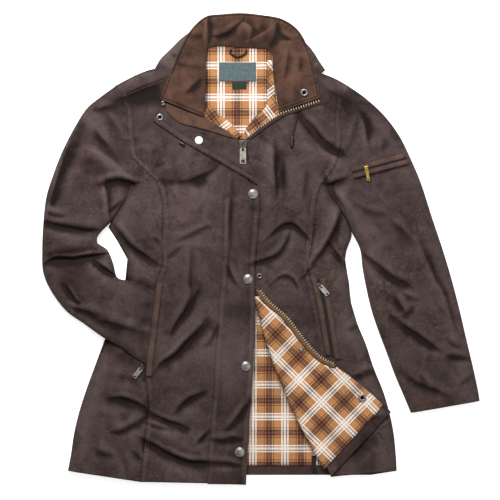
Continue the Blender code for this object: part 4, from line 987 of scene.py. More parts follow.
def edge_steps(count, left=True):
    """Steps across that crowd towards one rounded edge."""
    steps = np.linspace(0.0, 1.0, count + 1) ** 1.5
    return steps if left else 1.0 - steps[::-1]


fronts = {
    "front_right_centre": panel_points(join(armhole_r, princess_r), join(neck_r, centre_r), front_top,
                                       sewn=(0.0005, 0.0002), lapped=(1, 0)),
    "front_right_side": panel_points(side_r, princess_r, side_top, columns=edge_steps(36),
                                     sewn=(0.0, 0.0004)),
    "front_left_centre": panel_points(join(neck_l, centre_l), join(armhole_l, princess_l), front_top,
                                      sewn=(0.0002, 0.0005), lapped=(0, 1)),
    "front_left_side": panel_points(princess_l, side_l, front_top, columns=edge_steps(30, False),
                                    sewn=(0.0004, 0.0)),
}
for node, points in fronts.items():
    cloth(node, points, WAX, "waxed_cotton", CLOTH)

# %% [markdown]
# ## Back, its lining, and the shoulder strips
#
# The back lies flat below everything, dark cotton below and check lining above, and
# shows only through the neck and at the open hem. Its outline goes straight from row
# to row, as in the solid. The shoulder strips are the part of the back that wraps
# forward over the shoulders.

# %% Back and shoulders
# Left x, right x, y
BACK_ROWS = [
    (-0.146, 0.060, 0.412), (-0.176, 0.096, 0.382), (-0.196, 0.116, 0.354), (-0.204, 0.134, 0.338),
    (-0.274, 0.160, 0.316), (-0.271, 0.160, 0.296), (-0.265, 0.156, 0.266), (-0.265, 0.157, 0.226),
    (-0.259, 0.151, 0.184), (-0.257, 0.141, 0.154), (-0.256, 0.136, 0.130), (-0.277, 0.150, 0.104),
    (-0.290, 0.164, 0.076), (-0.306, 0.179, 0.044), (-0.288, 0.174, 0.016), (-0.268, 0.169, -0.020),
    (-0.272, 0.175, -0.060), (-0.288, 0.181, -0.108), (-0.302, 0.194, -0.152), (-0.332, 0.224, -0.232),
    (-0.362, 0.254, -0.318), (-0.381, 0.270, -0.412), (-0.386, 0.271, -0.445),
    (-0.300, 0.220, -0.453)]
BACK_LINING_ROWS = [
    (-0.108, 0.022, 0.408), (-0.128, 0.074, 0.360), (-0.150, 0.110, 0.320), (-0.240, 0.140, 0.240),
    (-0.236, 0.116, 0.140), (-0.244, 0.146, 0.000), (-0.276, 0.176, -0.150), (-0.326, 0.226, -0.300),
    (-0.356, 0.252, -0.434)]

BACK_STEPS = 90
LINING_STEPS = 200
LINING_RIPPLE = 0.0004
LAYER_GAP = 0.0003
YOKE_LAP = -0.0004

# Edge x, y, seam x, y
SHOULDER_R = [
    (-0.292, 0.326, -0.278, 0.306), (-0.242, 0.352, -0.233, 0.3245), (-0.211, 0.361, -0.188, 0.343),
    (-0.188, 0.365, -0.172, 0.3495)]
SHOULDER_L = [
    (0.108, 0.3555, 0.104, 0.334), (0.120, 0.352, 0.116, 0.328), (0.150, 0.340, 0.140, 0.316),
    (0.176, 0.326, 0.164, 0.304)]


def straight(table, count):
    """Rows at even steps down a table, straight between its rows."""
    rows = np.array(table)
    place = run_length(rows)
    steps = np.union1d(np.linspace(0.0, place[-1], count), place)
    return np.column_stack([np.interp(steps, place, rows[:, k]) for k in range(rows.shape[1])])


def level(height, ripple=0.0):
    """A flat lie, with a low ripple where the cloth is slack."""
    return lambda x, y: height + ripple * crumple(x, y, 0.05, 8)


LINING_TOP = BACK + LAYER_GAP + LINING
rows = straight(BACK_ROWS, BACK_STEPS)
cloth("back", panel_points(rows[:, [0, 2]], rows[:, [1, 2]], level(BACK)), WAX, "waxed_cotton", BACK)
rows = straight(BACK_LINING_ROWS, LINING_STEPS)
cloth("back_lining", panel_points(rows[:, [0, 2]], rows[:, [1, 2]], level(LINING_TOP, LINING_RIPPLE)),
      LINING_CHECK, "check_lining", LINING)


def strip_points(table, top, lift, flip=False, inset=SEAM / 2, **sewing):
    """A piece from a table whose rows hold one edge and the other: x, y, x, y."""
    rows = through(table)
    one, other = rows[:, :2], rows[:, 2:4]
    if flip:
        one, other = other, one
    return panel_points(one, other, top, lift, inset=inset, **sewing)


for node, table in (("shoulder_right", SHOULDER_R), ("shoulder_left", SHOULDER_L)):
    points = strip_points(table, front_top, 0.0, True, inset=YOKE_LAP, sewn=(0.0002, 0.0))
    cloth(node, points, WAX, "waxed_cotton", CLOTH)

# %% [markdown]
# ## Sleeves
#
# A sleeve lying down is a flattened tube: level below, rounded at both edges, crowned
# above. Each ring goes over from the outer edge to the inner one and back underneath.
# The first rings follow the armhole seam and take the height of the front there, and
# a smooth fade leads from that to the tube. The right cuff is tucked into its pocket,
# so that sleeve climbs on to the front.

# %% Sleeves
# Outer x, y, inner x, y, underside, top
SLEEVE_R = [
    (-0.292, 0.326, -0.258, 0.132, 0.0000, 0.018),
    (-0.322, 0.304, -0.2665, 0.108, 0.0000, 0.021),
    (-0.350, 0.280, -0.2832, 0.081, 0.0000, 0.024),
    (-0.376, 0.238, -0.2995, 0.055, 0.0000, 0.026),
    (-0.398, 0.194, -0.317, 0.037, 0.0000, 0.027),
    (-0.416, 0.148, -0.326, 0.026, 0.0000, 0.027),
    (-0.430, 0.102, -0.328, 0.020, 0.0000, 0.026),
    (-0.436, 0.048, -0.328, 0.015, 0.0000, 0.025),
    (-0.438, -0.002, -0.326, 0.011, 0.0000, 0.025),
    (-0.436, -0.046, -0.318, 0.006, 0.0000, 0.025),
    (-0.420, -0.084, -0.306, -0.004, 0.0000, 0.024),
    (-0.390, -0.124, -0.296, -0.028, 0.0000, 0.022),
    (-0.354, -0.150, -0.288, -0.056, 0.0010, 0.021),
    (-0.314, -0.178, -0.268, -0.063, 0.0085, 0.0215),
    (-0.278, -0.198, -0.246, -0.066, 0.0100, 0.0200),
    (-0.242, -0.222, -0.218, -0.082, 0.0116, 0.0180),
    (-0.204, -0.240, -0.182, -0.100, 0.0104, 0.0160)]
SLEEVE_L = [
    (0.176, 0.326, 0.139, 0.130, 0.0000, 0.018),
    (0.210, 0.302, 0.1455, 0.108, 0.0000, 0.021),
    (0.246, 0.268, 0.1570, 0.084, 0.0000, 0.024),
    (0.276, 0.228, 0.1705, 0.060, 0.0000, 0.026),
    (0.298, 0.184, 0.1825, 0.032, 0.0000, 0.027),
    (0.320, 0.132, 0.198, 0.000, 0.0000, 0.027),
    (0.342, 0.064, 0.203, -0.038, 0.0000, 0.026),
    (0.364, -0.002, 0.211, -0.080, 0.0000, 0.025),
    (0.382, -0.062, 0.221, -0.122, 0.0000, 0.024),
    (0.398, -0.124, 0.235, -0.164, 0.0000, 0.023),
    (0.412, -0.184, 0.251, -0.206, 0.0000, 0.022),
    (0.424, -0.234, 0.268, -0.252, 0.0000, 0.020),
    (0.434, -0.280, 0.286, -0.294, 0.0000, 0.018),
    (0.438, -0.304, 0.300, -0.328, 0.0000, 0.016)]
SHOULDER_POINT_R = (-0.292, 0.326)
SHOULDER_POINT_L = (0.176, 0.326)
SLEEVE_FOLDS = [
    (-0.358, 0.240, -0.420, 0.100, 0.016, -0.0050),
    (-0.426, 0.050, -0.338, 0.034, 0.014, -0.0060),
    (-0.418, -0.020, -0.318, -0.004, 0.014, -0.0080),
    (-0.390, -0.078, -0.366, -0.108, 0.016, -0.0050),
    (-0.334, 0.194, -0.262, 0.140, 0.018, 0.0040),
    (-0.366, -0.130, -0.312, -0.146, 0.014, -0.0050),
    (-0.326, -0.030, -0.296, -0.050, 0.012, -0.0050),
    (0.204, 0.266, 0.218, 0.236, 0.016, -0.0022),
    (0.204, -0.010, 0.280, -0.068, 0.016, -0.0030),
    (0.256, -0.100, 0.284, -0.128, 0.016, -0.0025),
    (0.262, -0.140, 0.340, -0.192, 0.016, -0.0030),
    (0.280, -0.246, 0.370, -0.296, 0.016, -0.0022),
    (0.338, -0.020, 0.384, -0.136, 0.018, -0.0020),
    (0.382, -0.218, 0.420, -0.218, 0.014, -0.0020),
]
SLEEVE_REACH = 0.030
SLEEVE_TOP = 74
SLEEVE_RUMPLE = 0.7
UNDER_REACH = 0.4
EDGE_SHARE = 0.36
THINNEST = 0.0045


def sleeve_points(table, armhole, sign, top_steps=SLEEVE_TOP, under_steps=16):
    """Rings of a flattened tube: a quarter round at each edge over and under a level middle."""
    rows = through(table)[:, None, :]
    over_share = 0.5 - 0.5 * np.cos(np.linspace(0.0, math.pi, top_steps + 1))
    under_share = 0.5 + 0.5 * np.cos(np.linspace(0.0, math.pi, under_steps + 2))[1:-1]
    share = np.concatenate([over_share, under_share])
    upper = np.arange(len(share)) <= top_steps
    outer, inner, low, high = rows[..., 0:2], rows[..., 2:4], np.maximum(rows[..., 4], 0.0), rows[..., 5]
    width = np.linalg.norm(inner - outer, axis=2)
    fade = smooth_step(1.0 - np.arange(len(rows)) / (2.0 * SPAN_ROWS))[:, None]
    length = run_length(armhole)
    seam = np.column_stack([np.interp(share, length / length[-1], armhole[:, k]) for k in (0, 1)])
    start = rows[0, 0, 0:2] + share[:, None] * (rows[0, 0, 2:4] - rows[0, 0, 0:2])
    shift = seam - start + np.array([sign * ARMHOLE_GAP, 0.0])
    plan = outer + share[None, :, None] * (inner - outer) + fade[..., None] * shift[None]
    x, y = plan[..., 0], plan[..., 1]
    middle = low + EDGE_SHARE * (high - low)
    distance = np.minimum(share, 1.0 - share)[None, :] * width
    rise = edge_rise(distance, SLEEVE_REACH)
    small = creases(x, y, SLEEVE_CREASES) + SLEEVE_RUMPLE * rumple(x, y)
    dress = folds(x, y, SLEEVE_FOLDS) + quiet(x, y) * small
    over = middle + (high - middle) * rise + rise * dress
    over = np.maximum((1.0 - fade) * over + fade * front_top(x, y), low + THINNEST)
    under = middle - (middle - low) * edge_rise(distance, UNDER_REACH * SLEEVE_REACH)
    height = np.where(upper[None, :], over, under)
    points = np.concatenate([plan, height[..., None]], axis=-1)
    return points[:, ::-1] if sign > 0 else points


start_r = np.array([SHOULDER_POINT_R, ARMHOLE_R[0]])
start_l = np.array([SHOULDER_POINT_L, ARMHOLE_L[0]])
sleeve_r = sleeve_points(SLEEVE_R, join(start_r, armhole_r, side_r[:2 * SPAN_ROWS + 1]), -1.0)
sleeve_l = sleeve_points(SLEEVE_L, join(start_l, armhole_l, side_l[:2 * SPAN_ROWS + 1]), 1.0)
cloth("sleeve_right", sleeve_r, WAX, "waxed_cotton", CLOTH, around=True)
cloth("sleeve_left", sleeve_l, WAX, "waxed_cotton", CLOTH, around=True)

# %% [markdown]
# ## Hood and collar
#
# The hood is folded up and pushed under the collar, so only its rolled edge shows. It
# is a flattened tube like a sleeve, pinched at both ends. The collar stands open with
# its brushed inner face up: each row runs from the neck seam to the outer edge, rises
# quickly near the seam and swells between its two edges.

# %% Hood and collar
# Outer x, y, inner x, y, top
HOOD_ROWS = [
    (-0.213, 0.361, -0.194, 0.347, 0.0070), (-0.202, 0.380, -0.168, 0.356, 0.0110),
    (-0.182, 0.400, -0.146, 0.378, 0.0118), (-0.150, 0.430, -0.118, 0.406, 0.0100),
    (-0.098, 0.460, -0.090, 0.424, 0.0086), (-0.042, 0.466, -0.042, 0.426, 0.0086),
    (0.014, 0.460, 0.004, 0.424, 0.0086), (0.058, 0.440, 0.026, 0.408, 0.0100),
    (0.091, 0.412, 0.056, 0.388, 0.0118), (0.106, 0.394, 0.081, 0.373, 0.0115),
    (0.116, 0.378, 0.099, 0.360, 0.0105), (0.129, 0.359, 0.1175, 0.349, 0.0070)]
HOOD_CLOTH = 0.0014
HOOD_REACH = 0.012
HOOD_RIM = 0.0040
HOOD_LOW = 0.0016
HOOD_RUMPLE = 0.9
HOOD_END = 0.3
UNDER_SHARES = [0.9, 0.5, 0.1]
PINCH = 0.022

# Neck seam x, y, z, outer edge x, y, z
COLLAR = [
    (-0.114, 0.264, 0.0175, -0.202, 0.300, 0.0170), (-0.112, 0.298, 0.0180, -0.190, 0.330, 0.0180),
    (-0.110, 0.338, 0.0170, -0.176, 0.364, 0.0180), (-0.110, 0.374, 0.0120, -0.160, 0.402, 0.0160),
    (-0.108, 0.396, 0.0070, -0.142, 0.436, 0.0140), (-0.100, 0.405, 0.0052, -0.112, 0.464, 0.0130),
    (-0.072, 0.406, 0.0050, -0.074, 0.470, 0.0120), (-0.042, 0.404, 0.0050, -0.038, 0.472, 0.0120),
    (-0.010, 0.402, 0.0050, 0.002, 0.468, 0.0120), (0.014, 0.400, 0.0052, 0.042, 0.460, 0.0130),
    (0.022, 0.390, 0.0080, 0.074, 0.438, 0.0140), (0.024, 0.362, 0.0130, 0.094, 0.402, 0.0160),
    (0.028, 0.330, 0.0170, 0.106, 0.362, 0.0180), (0.032, 0.298, 0.0180, 0.114, 0.326, 0.0180),
    (0.036, 0.274, 0.0175, 0.118, 0.302, 0.0170)]
COLLAR_SWELL = 0.0022
COLLAR_ROWS = 22
COLLAR_LOW = 0.0048
COLLAR_CREASE = 1.9
COLLAR_RUMPLE = 0.6
COLLAR_PUCKER = 0.0003
COLLAR_PUCKER_INSET = 0.0080
GROOVE = 0.0040
GROOVE_WIDTH = 0.0014
GROOVE_DEPTH = 0.0014

# Columns as in the tables of creases
HOOD_CREASES = [
    (-0.176, 0.392, -0.150, 0.372, 0.0, 0.004, 0.008, -0.0018),
    (-0.150, 0.420, -0.128, 0.400, 0.0, 0.004, 0.008, -0.0018),
    (0.098, 0.404, 0.078, 0.386, 0.0, 0.004, 0.008, -0.0018),
    (0.113, 0.382, 0.096, 0.364, 0.0, 0.004, 0.008, -0.0018),
]
COLLAR_CREASES = [
    (-0.106, 0.400, -0.109, 0.474, 0.000, 0.0035, 0.008, -0.0046),
    (-0.094, 0.428, -0.040, 0.452, 0.010, 0.006, 0.010, -0.0044),
    (-0.036, 0.452, -0.026, 0.416, -0.006, 0.005, 0.009, 0.0030),
    (-0.028, 0.414, 0.018, 0.446, 0.006, 0.005, 0.009, 0.0026),
    (0.016, 0.400, 0.030, 0.450, 0.004, 0.006, 0.010, -0.0048),
    (0.030, 0.440, 0.058, 0.420, 0.004, 0.005, 0.010, -0.0040),
    (-0.158, 0.434, -0.120, 0.428, 0.003, 0.008, 0.012, -0.0024),
    (-0.152, 0.308, -0.122, 0.334, 0.002, 0.006, 0.012, -0.0030),
    (-0.180, 0.372, -0.118, 0.360, 0.003, 0.007, 0.012, -0.0016),
    (0.046, 0.340, 0.054, 0.392, 0.002, 0.006, 0.010, -0.0024),
    (0.074, 0.350, 0.080, 0.388, 0.002, 0.006, 0.010, -0.0020),
]

# Patches of painted shade and painted light on the nap: x, y, reach, amount
COLLAR_SHADE_AND_LIGHT = [
    (-0.102, 0.438, 0.013, -0.50), (-0.080, 0.432, 0.016, -0.45), (-0.030, 0.424, 0.014, -0.35),
    (0.040, 0.434, 0.016, -0.50), (0.024, 0.414, 0.014, -0.45), (-0.130, 0.324, 0.014, -0.45),
    (-0.150, 0.402, 0.022, -0.25), (-0.122, 0.352, 0.018, -0.20), (-0.152, 0.310, 0.020, 0.25),
    (-0.060, 0.430, 0.030, -0.25), (0.006, 0.432, 0.030, -0.25), (-0.044, 0.446, 0.012, 0.45),
    (0.076, 0.336, 0.026, 0.25), (0.090, 0.390, 0.016, 0.20),
]


def collar_points(steps=60):
    """Rows from the neck seam outwards: a quick rise, then a swell of four times share times its rest.

    A groove runs inside the free edges, where they are stitched.
    """
    rows = through(COLLAR, COLLAR_ROWS)[:, None, :]
    share = np.linspace(0.0, 1.0, steps + 1)[None, :, None]
    plan = rows[..., 0:2] + share * (rows[..., 3:5] - rows[..., 0:2])
    rise = 1.0 - (1.0 - share) ** 2.2
    height = rows[..., 2:3] + rise * (rows[..., 5:6] - rows[..., 2:3])
    height = height + COLLAR_SWELL * 4.0 * share * (1.0 - share)
    x, y = plan[..., 0], plan[..., 1]
    inside = np.sin(math.pi * share[..., 0]) ** 0.5
    dress = COLLAR_CREASE * creases(x, y, COLLAR_CREASES) + COLLAR_RUMPLE * rumple(x, y)
    height = height[..., 0] + inside * dress
    along = np.broadcast_to(run_length(rows[:, 0, 3:5])[:, None], height.shape)
    width = np.linalg.norm(rows[..., 3:5] - rows[..., 0:2], axis=2)
    from_edge = np.minimum(width * (1.0 - share[..., 0]), np.minimum(along, along[-1] - along))
    height = height - GROOVE_DEPTH * np.exp(-((from_edge - GROOVE) / GROOVE_WIDTH) ** 2)
    height = height + COLLAR_PUCKER * pucker(from_edge - COLLAR_PUCKER_INSET, along, 14)
    return np.concatenate([plan, np.maximum(height, COLLAR_LOW)[..., None]], axis=-1)


collar = collar_points()
cloth("collar", collar, COLLAR_NAP, "brushed_collar", CLOTH, patches=COLLAR_SHADE_AND_LIGHT)


def hood_points(table, reach, cover, steps=26):
    """Rings of a flattened roll: level below, round above, lower towards both ends and under its cover."""
    rows = through(table)
    over_share = 0.5 - 0.5 * np.cos(np.linspace(0.0, math.pi, steps + 1))
    share = np.concatenate([over_share, UNDER_SHARES])
    outer, inner, high = rows[:, None, 0:2], rows[:, None, 2:4], rows[:, None, 4]
    plan = outer + share[None, :, None] * (inner - outer)
    width = np.linalg.norm(inner - outer, axis=2)
    rise = edge_rise(np.minimum(share, 1.0 - share) * width, reach)
    along = run_length(rows[:, :2])
    ends = smooth_step(np.minimum(along, along[-1] - along) / PINCH)[:, None]
    x, y = plan[..., 0], plan[..., 1]
    dress = creases(x, y, HOOD_CREASES) + HOOD_RUMPLE * rumple(x, y)
    crown = (EDGE_SHARE + (1.0 - EDGE_SHARE) * rise) * high
    top = HOOD_RIM + (crown - HOOD_RIM + rise * dress) * (HOOD_END + (1.0 - HOOD_END) * ends)
    top = np.maximum(np.minimum(top, cover(x, y) - CLOTH - LIE), HOOD_LOW)
    upper = np.arange(len(share)) <= steps
    height = np.where(upper[None, :], top, 0.0)
    return np.concatenate([plan, height[..., None]], axis=-1)[:, ::-1]


hood = hood_points(HOOD_ROWS, HOOD_REACH, resting(collar[::4, ::2]))
cloth("hood", hood, HOOD_WAX, "waxed_cotton_hood", HOOD_CLOTH, around=True)

# %% [markdown]
# ## Strips that lie on the fronts
#
# The placket that covers the zip, its top turned back, the chin guard and the zip tapes
# all lie on the fronts. Each takes the height of the front below it plus its own
# thickness, so the folds of the front go on through it.

# %% Placket, guard and tapes
# Left or upper edge x, y, then right or lower edge x, y
GUARD = [
    (-0.190, 0.291, -0.188, 0.274), (-0.162, 0.280, -0.164, 0.253), (-0.132, 0.268, -0.128, 0.243),
    (-0.108, 0.259, -0.096, 0.234), (-0.074, 0.240, -0.068, 0.225), (-0.054, 0.226, -0.050, 0.221)]
PLACKET = [
    (-0.068, 0.156, -0.006, 0.123), (-0.071, 0.128, -0.003, 0.108), (-0.074, 0.092, -0.004, 0.072),
    (-0.076, 0.018, -0.008, 0.014), (-0.079, -0.054, -0.012, -0.054), (-0.084, -0.122, -0.012, -0.126),
    (-0.090, -0.202, -0.014, -0.202), (-0.094, -0.282, -0.018, -0.274), (-0.100, -0.352, -0.024, -0.352),
    (-0.105, -0.422, -0.028, -0.426), (-0.107, -0.470, -0.030, -0.472)]
PLACKET_TURN = [
    (-0.202, 0.290, -0.216, 0.256), (-0.182, 0.264, -0.192, 0.240), (-0.160, 0.249, -0.166, 0.222),
    (-0.126, 0.239, -0.136, 0.204), (-0.094, 0.230, -0.102, 0.184), (-0.066, 0.221, -0.070, 0.166),
    (-0.042, 0.198, -0.040, 0.149), (-0.026, 0.172, -0.022, 0.138), (-0.008, 0.138, -0.008, 0.129)]
TAPE_TOP = [
    (0.118, 0.297, 0.120, 0.290), (0.078, 0.284, 0.080, 0.277), (0.040, 0.271, 0.044, 0.264),
    (0.004, 0.248, 0.009, 0.241), (-0.027, 0.224, -0.022, 0.218)]
CLOSED_SPANS = 7
CLOSED_SINK = -0.0004
CLOSED_CLEAR = 0.0006


def lying(table, thickness, flip=False, **sewing):
    """A strip's grid, one cloth thickness above the fronts."""
    return strip_points(table, front_top, LIE + thickness, flip, **sewing)


guard = lying(GUARD, CLOTH, True, sewn=(0.0002, 0.0))
placket = lying(PLACKET, CLOTH, sewn=(0.0003, 0.0003), lapped=(1, 1))
placket_turn = lying(PLACKET_TURN, CLOTH, True, sewn=(0.0003, 0.0003), lapped=(1, 0))
tape_top = lying(TAPE_TOP, LINING)
closed = slice(CLOSED_SPANS * SPAN_ROWS + 1)
zip_closed = panel_points(centre_r[closed], centre_l[closed], front_top, CLOSED_SINK,
                          columns=np.linspace(0.0, 1.0, 5), inset=CLOSED_CLEAR)
cloth("collar_guard", guard, GUARD_NAP, "brushed_collar", CLOTH)
cloth("placket", placket, WAX, "waxed_cotton", CLOTH)
cloth("placket_turn", placket_turn, WAX, "waxed_cotton", CLOTH)
cloth("zip_tape_top", tape_top, SHADED_ZIP_TAPE, "zip_tape", LINING)
cloth("zip_closed", zip_closed, DARK_TAPE, "zip_tape", LINING)

# %% [markdown]
# ## Linings in the neck, and the turned corner
#
# In the neck the lining of each front slopes down from the front's edge to the back.
# The lower corner of the left front is turned back on itself: the outer cloth rolls
# over the fold line and lies on the front, and its lining is then on top.

# %% Neck linings and the turned corner
# Lower or right edge x, y, inner edge x, y
NECK_LINING_R = [
    (-0.1205, 0.2720, -0.100, 0.290), (-0.1130, 0.2605, -0.090, 0.274), (-0.0960, 0.2480, -0.070, 0.260),
    (-0.0700, 0.2325, -0.050, 0.241), (-0.0500, 0.2205, -0.040, 0.228)]
NECK_LINING_L = [
    (0.012, 0.378, 0.022, 0.378), (0.012, 0.334, 0.026, 0.334), (0.012, 0.296, 0.030, 0.292),
    (0.006, 0.280, 0.035, 0.2665), (-0.016, 0.260, 0.003, 0.2440), (-0.033, 0.236, -0.026, 0.2225)]
LINING_LOW = 0.0060
LINING_DROP = 0.0006
CUT_COS, CUT_SIN = 0.8, 0.6

# Fold x, y, free edge x, y
TURN = [
    (-0.013, -0.074, -0.007, -0.076), (-0.004, -0.110, 0.014, -0.104), (0.008, -0.158, 0.052, -0.138),
    (0.028, -0.222, 0.086, -0.182), (0.050, -0.278, 0.118, -0.216), (0.072, -0.328, 0.152, -0.234),
    (0.094, -0.372, 0.190, -0.262), (0.116, -0.412, 0.226, -0.292), (0.130, -0.436, 0.246, -0.311),
    (0.140, -0.454, 0.260, -0.326)]
TURN_FLOOR = 0.0115
TURN_LIE = 0.0016
ROLL_HEIGHT = 0.0040
ROLL_REACH = 0.018
LIP = 0.0060
LIP_DROP = 0.9
FOLD_START = 0.0008
TURN_COLUMNS = 45
TAPE_WIDTH = 0.0080
TAPE_CLEAR = 0.0012
TAPE_PROUD = 0.0010
EDGE_CLEAR = 0.0020
ZIP_SPAN = 5


def neck_lining(table, high_side):
    """A slope from below the front's edge to a low inner edge, and its map, turned as the cloth is cut."""
    rows = through(table)
    share = np.linspace(0.0, 1.0, 9)[None, :, None]
    plan = rows[:, None, 0:2] + share * (rows[:, None, 2:4] - rows[:, None, 0:2])
    edge = rows[:, 2 * high_side:2 * high_side + 2]
    high = front_top(edge[:, 0], edge[:, 1])[:, None, None] - CLOTH - LINING_DROP
    fall = share if high_side == 0 else 1.0 - share
    points = np.concatenate([plan, high + fall * (LINING_LOW - high)], axis=-1)
    x, y = plan[..., 0], plan[..., 1]
    return points, np.stack([CUT_COS * x + CUT_SIN * y, CUT_COS * y - CUT_SIN * x], axis=-1)


for node, table, side in (("front_right_lining", NECK_LINING_R, 0), ("front_left_lining", NECK_LINING_L, 1)):
    points, cut = neck_lining(table, side)
    cloth(node, points, LINING_CHECK, "check_lining", LINING, cut)


def turn_grid(rows, reach, lift):
    """Points a given distance past the fold: the front's height, a roll at the fold, a lip under it."""
    fold_line = rows[:, None, 0:2]
    way = rows[:, None, 2:4] - fold_line
    way = way / np.linalg.norm(way, axis=2, keepdims=True)
    past = np.maximum(reach, 0.0)
    rest = fold_line + way * past[..., None]
    base = np.maximum(front_top(rest[..., 0], rest[..., 1]), TURN_FLOOR)
    roll = ROLL_HEIGHT * np.exp(-(past / ROLL_REACH) ** 2)
    drop = LIP_DROP * LIP * (np.minimum(reach, 0.0) / LIP) ** 2
    height = base + TURN_LIE + CLOTH + roll - drop + lift
    plan = fold_line + way * reach[..., None]
    return np.concatenate([plan, height[..., None]], axis=-1)


def mirrored(points):
    """The plan mirrored across the fold line, which is where the cloth was cut."""
    first, last = np.array(TURN[1][:2]), np.array(TURN[-1][:2])
    ahead = (last - first) / np.linalg.norm(last - first)
    away = points[..., :2] - first
    along = (away @ ahead)[..., None] * ahead
    return first + 2.0 * along - away


turn_rows = through(TURN)
turn_width = np.linalg.norm(turn_rows[:, 2:4] - turn_rows[:, 0:2], axis=1)[:, None]
turn_share = np.linspace(0.0, 1.0, TURN_COLUMNS)[None, :] ** 1.25
turn_reach = FOLD_START + (turn_width - FOLD_START) * turn_share
turn_points = turn_grid(turn_rows, turn_reach, 0.0)
cloth("front_left_turn", turn_points, WAX, "waxed_cotton", CLOTH)

zip_rows = ZIP_SPAN * SPAN_ROWS
stop = np.where(np.arange(len(turn_rows)) < zip_rows, TAPE_WIDTH + TAPE_CLEAR, EDGE_CLEAR)[:, None]
lip_reach = np.broadcast_to(np.linspace(-LIP, -LIP / 6, 6), (len(turn_rows), 6))
lining_reach = np.concatenate([lip_reach, turn_reach * (1.0 - stop / turn_width)], axis=1)
inner = slice(SPAN_ROWS // 2 + 2, len(turn_rows) - SPAN_ROWS)
lining_points = turn_grid(turn_rows[inner], lining_reach[inner], LIE + LINING)
cloth("front_left_turn_lining", lining_points, LINING_CHECK, "check_lining", LINING, mirrored(lining_points))

tape_rows = slice(SPAN_ROWS // 4, zip_rows)
tape_reach = turn_width - TAPE_WIDTH + (TAPE_WIDTH + TAPE_PROUD) * np.linspace(0.0, 1.0, 4)[None, :]
tape_turn = turn_grid(turn_rows[tape_rows], tape_reach[tape_rows], LIE + LINING)
cloth("zip_tape_turn", tape_turn, TURN_TAPE, "zip_tape", LINING)

# %% [markdown]
# ## Pockets
#
# The hand pockets open along the princess seams and the small one runs across the left
# upper arm. Each welt is a folded strip of cord beside the opening. Those on the sleeve
# take their height from the sleeve's grid.

# %% Pocket strips
ARM_POCKET = ((0.181, 0.151), (0.290, 0.1803))
ARM_LIE = 0.0010
STRIP_COLUMNS = np.linspace(0.0, 1.0, 9)

# Finish, slot and thickness of the two kinds of strip
WELT = (WELT_CORD, "corded_welt", CLOTH)
TAPE = (DARK_TAPE, "zip_tape", LINING)


def beside(curve, span, offsets, count=60):
    """Two edges beside a curve between two heights y, at two offsets in x."""
    order = np.argsort(curve[:, 1])
    heights = np.linspace(*span, count)
    seam = np.interp(heights, curve[order, 1], curve[order, 0])
    return np.column_stack([seam + offsets[0], heights]), np.column_stack([seam + offsets[1], heights])


def welt_shape(points, fullness):
    """A strip rounded across: fullness times four shares of the width."""
    share = np.linspace(0.0, 1.0, points.shape[1])
    points = points.copy()
    points[..., 2] += fullness * 4.0 * share * (1.0 - share)
    return points


def strip_map(points):
    """A map in metres: across the strip, then along it."""
    wide = np.linalg.norm(points - points[:, :1], axis=2)
    long = np.broadcast_to(run_length(points[:, 0])[:, None], wide.shape)
    return np.stack([wide, long], axis=-1)


def sewn_strip(node, kind, points, fullness):
    """A strip rounded across, with a map that follows it."""
    look, slot, thickness = kind
    points = welt_shape(points, fullness)
    cloth(node, points, look, slot, thickness, strip_map(points))
    return points


def pocket_strip(node, kind, curve, span, offsets, top, fullness=0.0):
    """A welt or a tape lying beside a seam."""
    left, right = beside(curve, span, offsets)
    points = panel_points(left, right, top, LIE + kind[2], STRIP_COLUMNS, inset=0.0)
    return sewn_strip(node, kind, points, fullness)


welt_r = pocket_strip("pocket_right_welt", WELT, princess_r, (-0.070, -0.254), (0.0010, 0.0135),
                      front_top, fullness=0.0010)
tape_r = pocket_strip("pocket_right_zip", TAPE, princess_r, (-0.232, -0.262), (-0.0075, -0.0015), side_top)
welt_lf = pocket_strip("pocket_left_welt_front", WELT, princess_l, (-0.058, -0.212), (0.0010, 0.0115),
                       front_top, fullness=0.0008)
tape_l = pocket_strip("pocket_left_zip", TAPE, princess_l, (-0.058, -0.216), (0.0122, 0.0172), front_top)
welt_lb = pocket_strip("pocket_left_welt_back", WELT, princess_l, (-0.058, -0.220), (0.0180, 0.0285),
                       front_top, fullness=0.0008)

arm_top = resting(sleeve_l[:, -SLEEVE_TOP - 1:])
arm_start, arm_end = np.array(ARM_POCKET[0]), np.array(ARM_POCKET[1])
arm_along = (arm_end - arm_start) / np.linalg.norm(arm_end - arm_start)
arm_up = np.array([-arm_along[1], arm_along[0]])
arm_run = arm_start + np.linspace(0.0, 1.0, 40)[:, None] * (arm_end - arm_start)


def arm_strip(node, kind, low, high, fullness=0.0):
    """A strip across the sleeve beside the pocket line."""
    points = panel_points(arm_run + arm_up * low, arm_run + arm_up * high, arm_top, ARM_LIE + kind[2],
                          STRIP_COLUMNS, inset=0.0)
    return sewn_strip(node, kind, points[::-1], fullness)


arm_upper = arm_strip("sleeve_pocket_welt_upper", WELT, 0.0024, 0.0110, fullness=0.0007)
arm_zip = arm_strip("sleeve_pocket_zip", TAPE, -0.0020, 0.0018)
arm_lower = arm_strip("sleeve_pocket_welt_lower", WELT, -0.0102, -0.0026, fullness=0.0007)

# %% [markdown]
# ## Label, size tab and the vent zip
#
# These are small flat pieces sewn to the lining of the back. The label is woven and
# left bare. Each is a card: a grid whose edge is turned down a little all round.

# %% Cards on the lining
CARD = 0.0008
CARD_WAVE = 0.0002
CARD_FALL = 0.0004
CARD_COLUMNS, CARD_ROWS = 41, 29


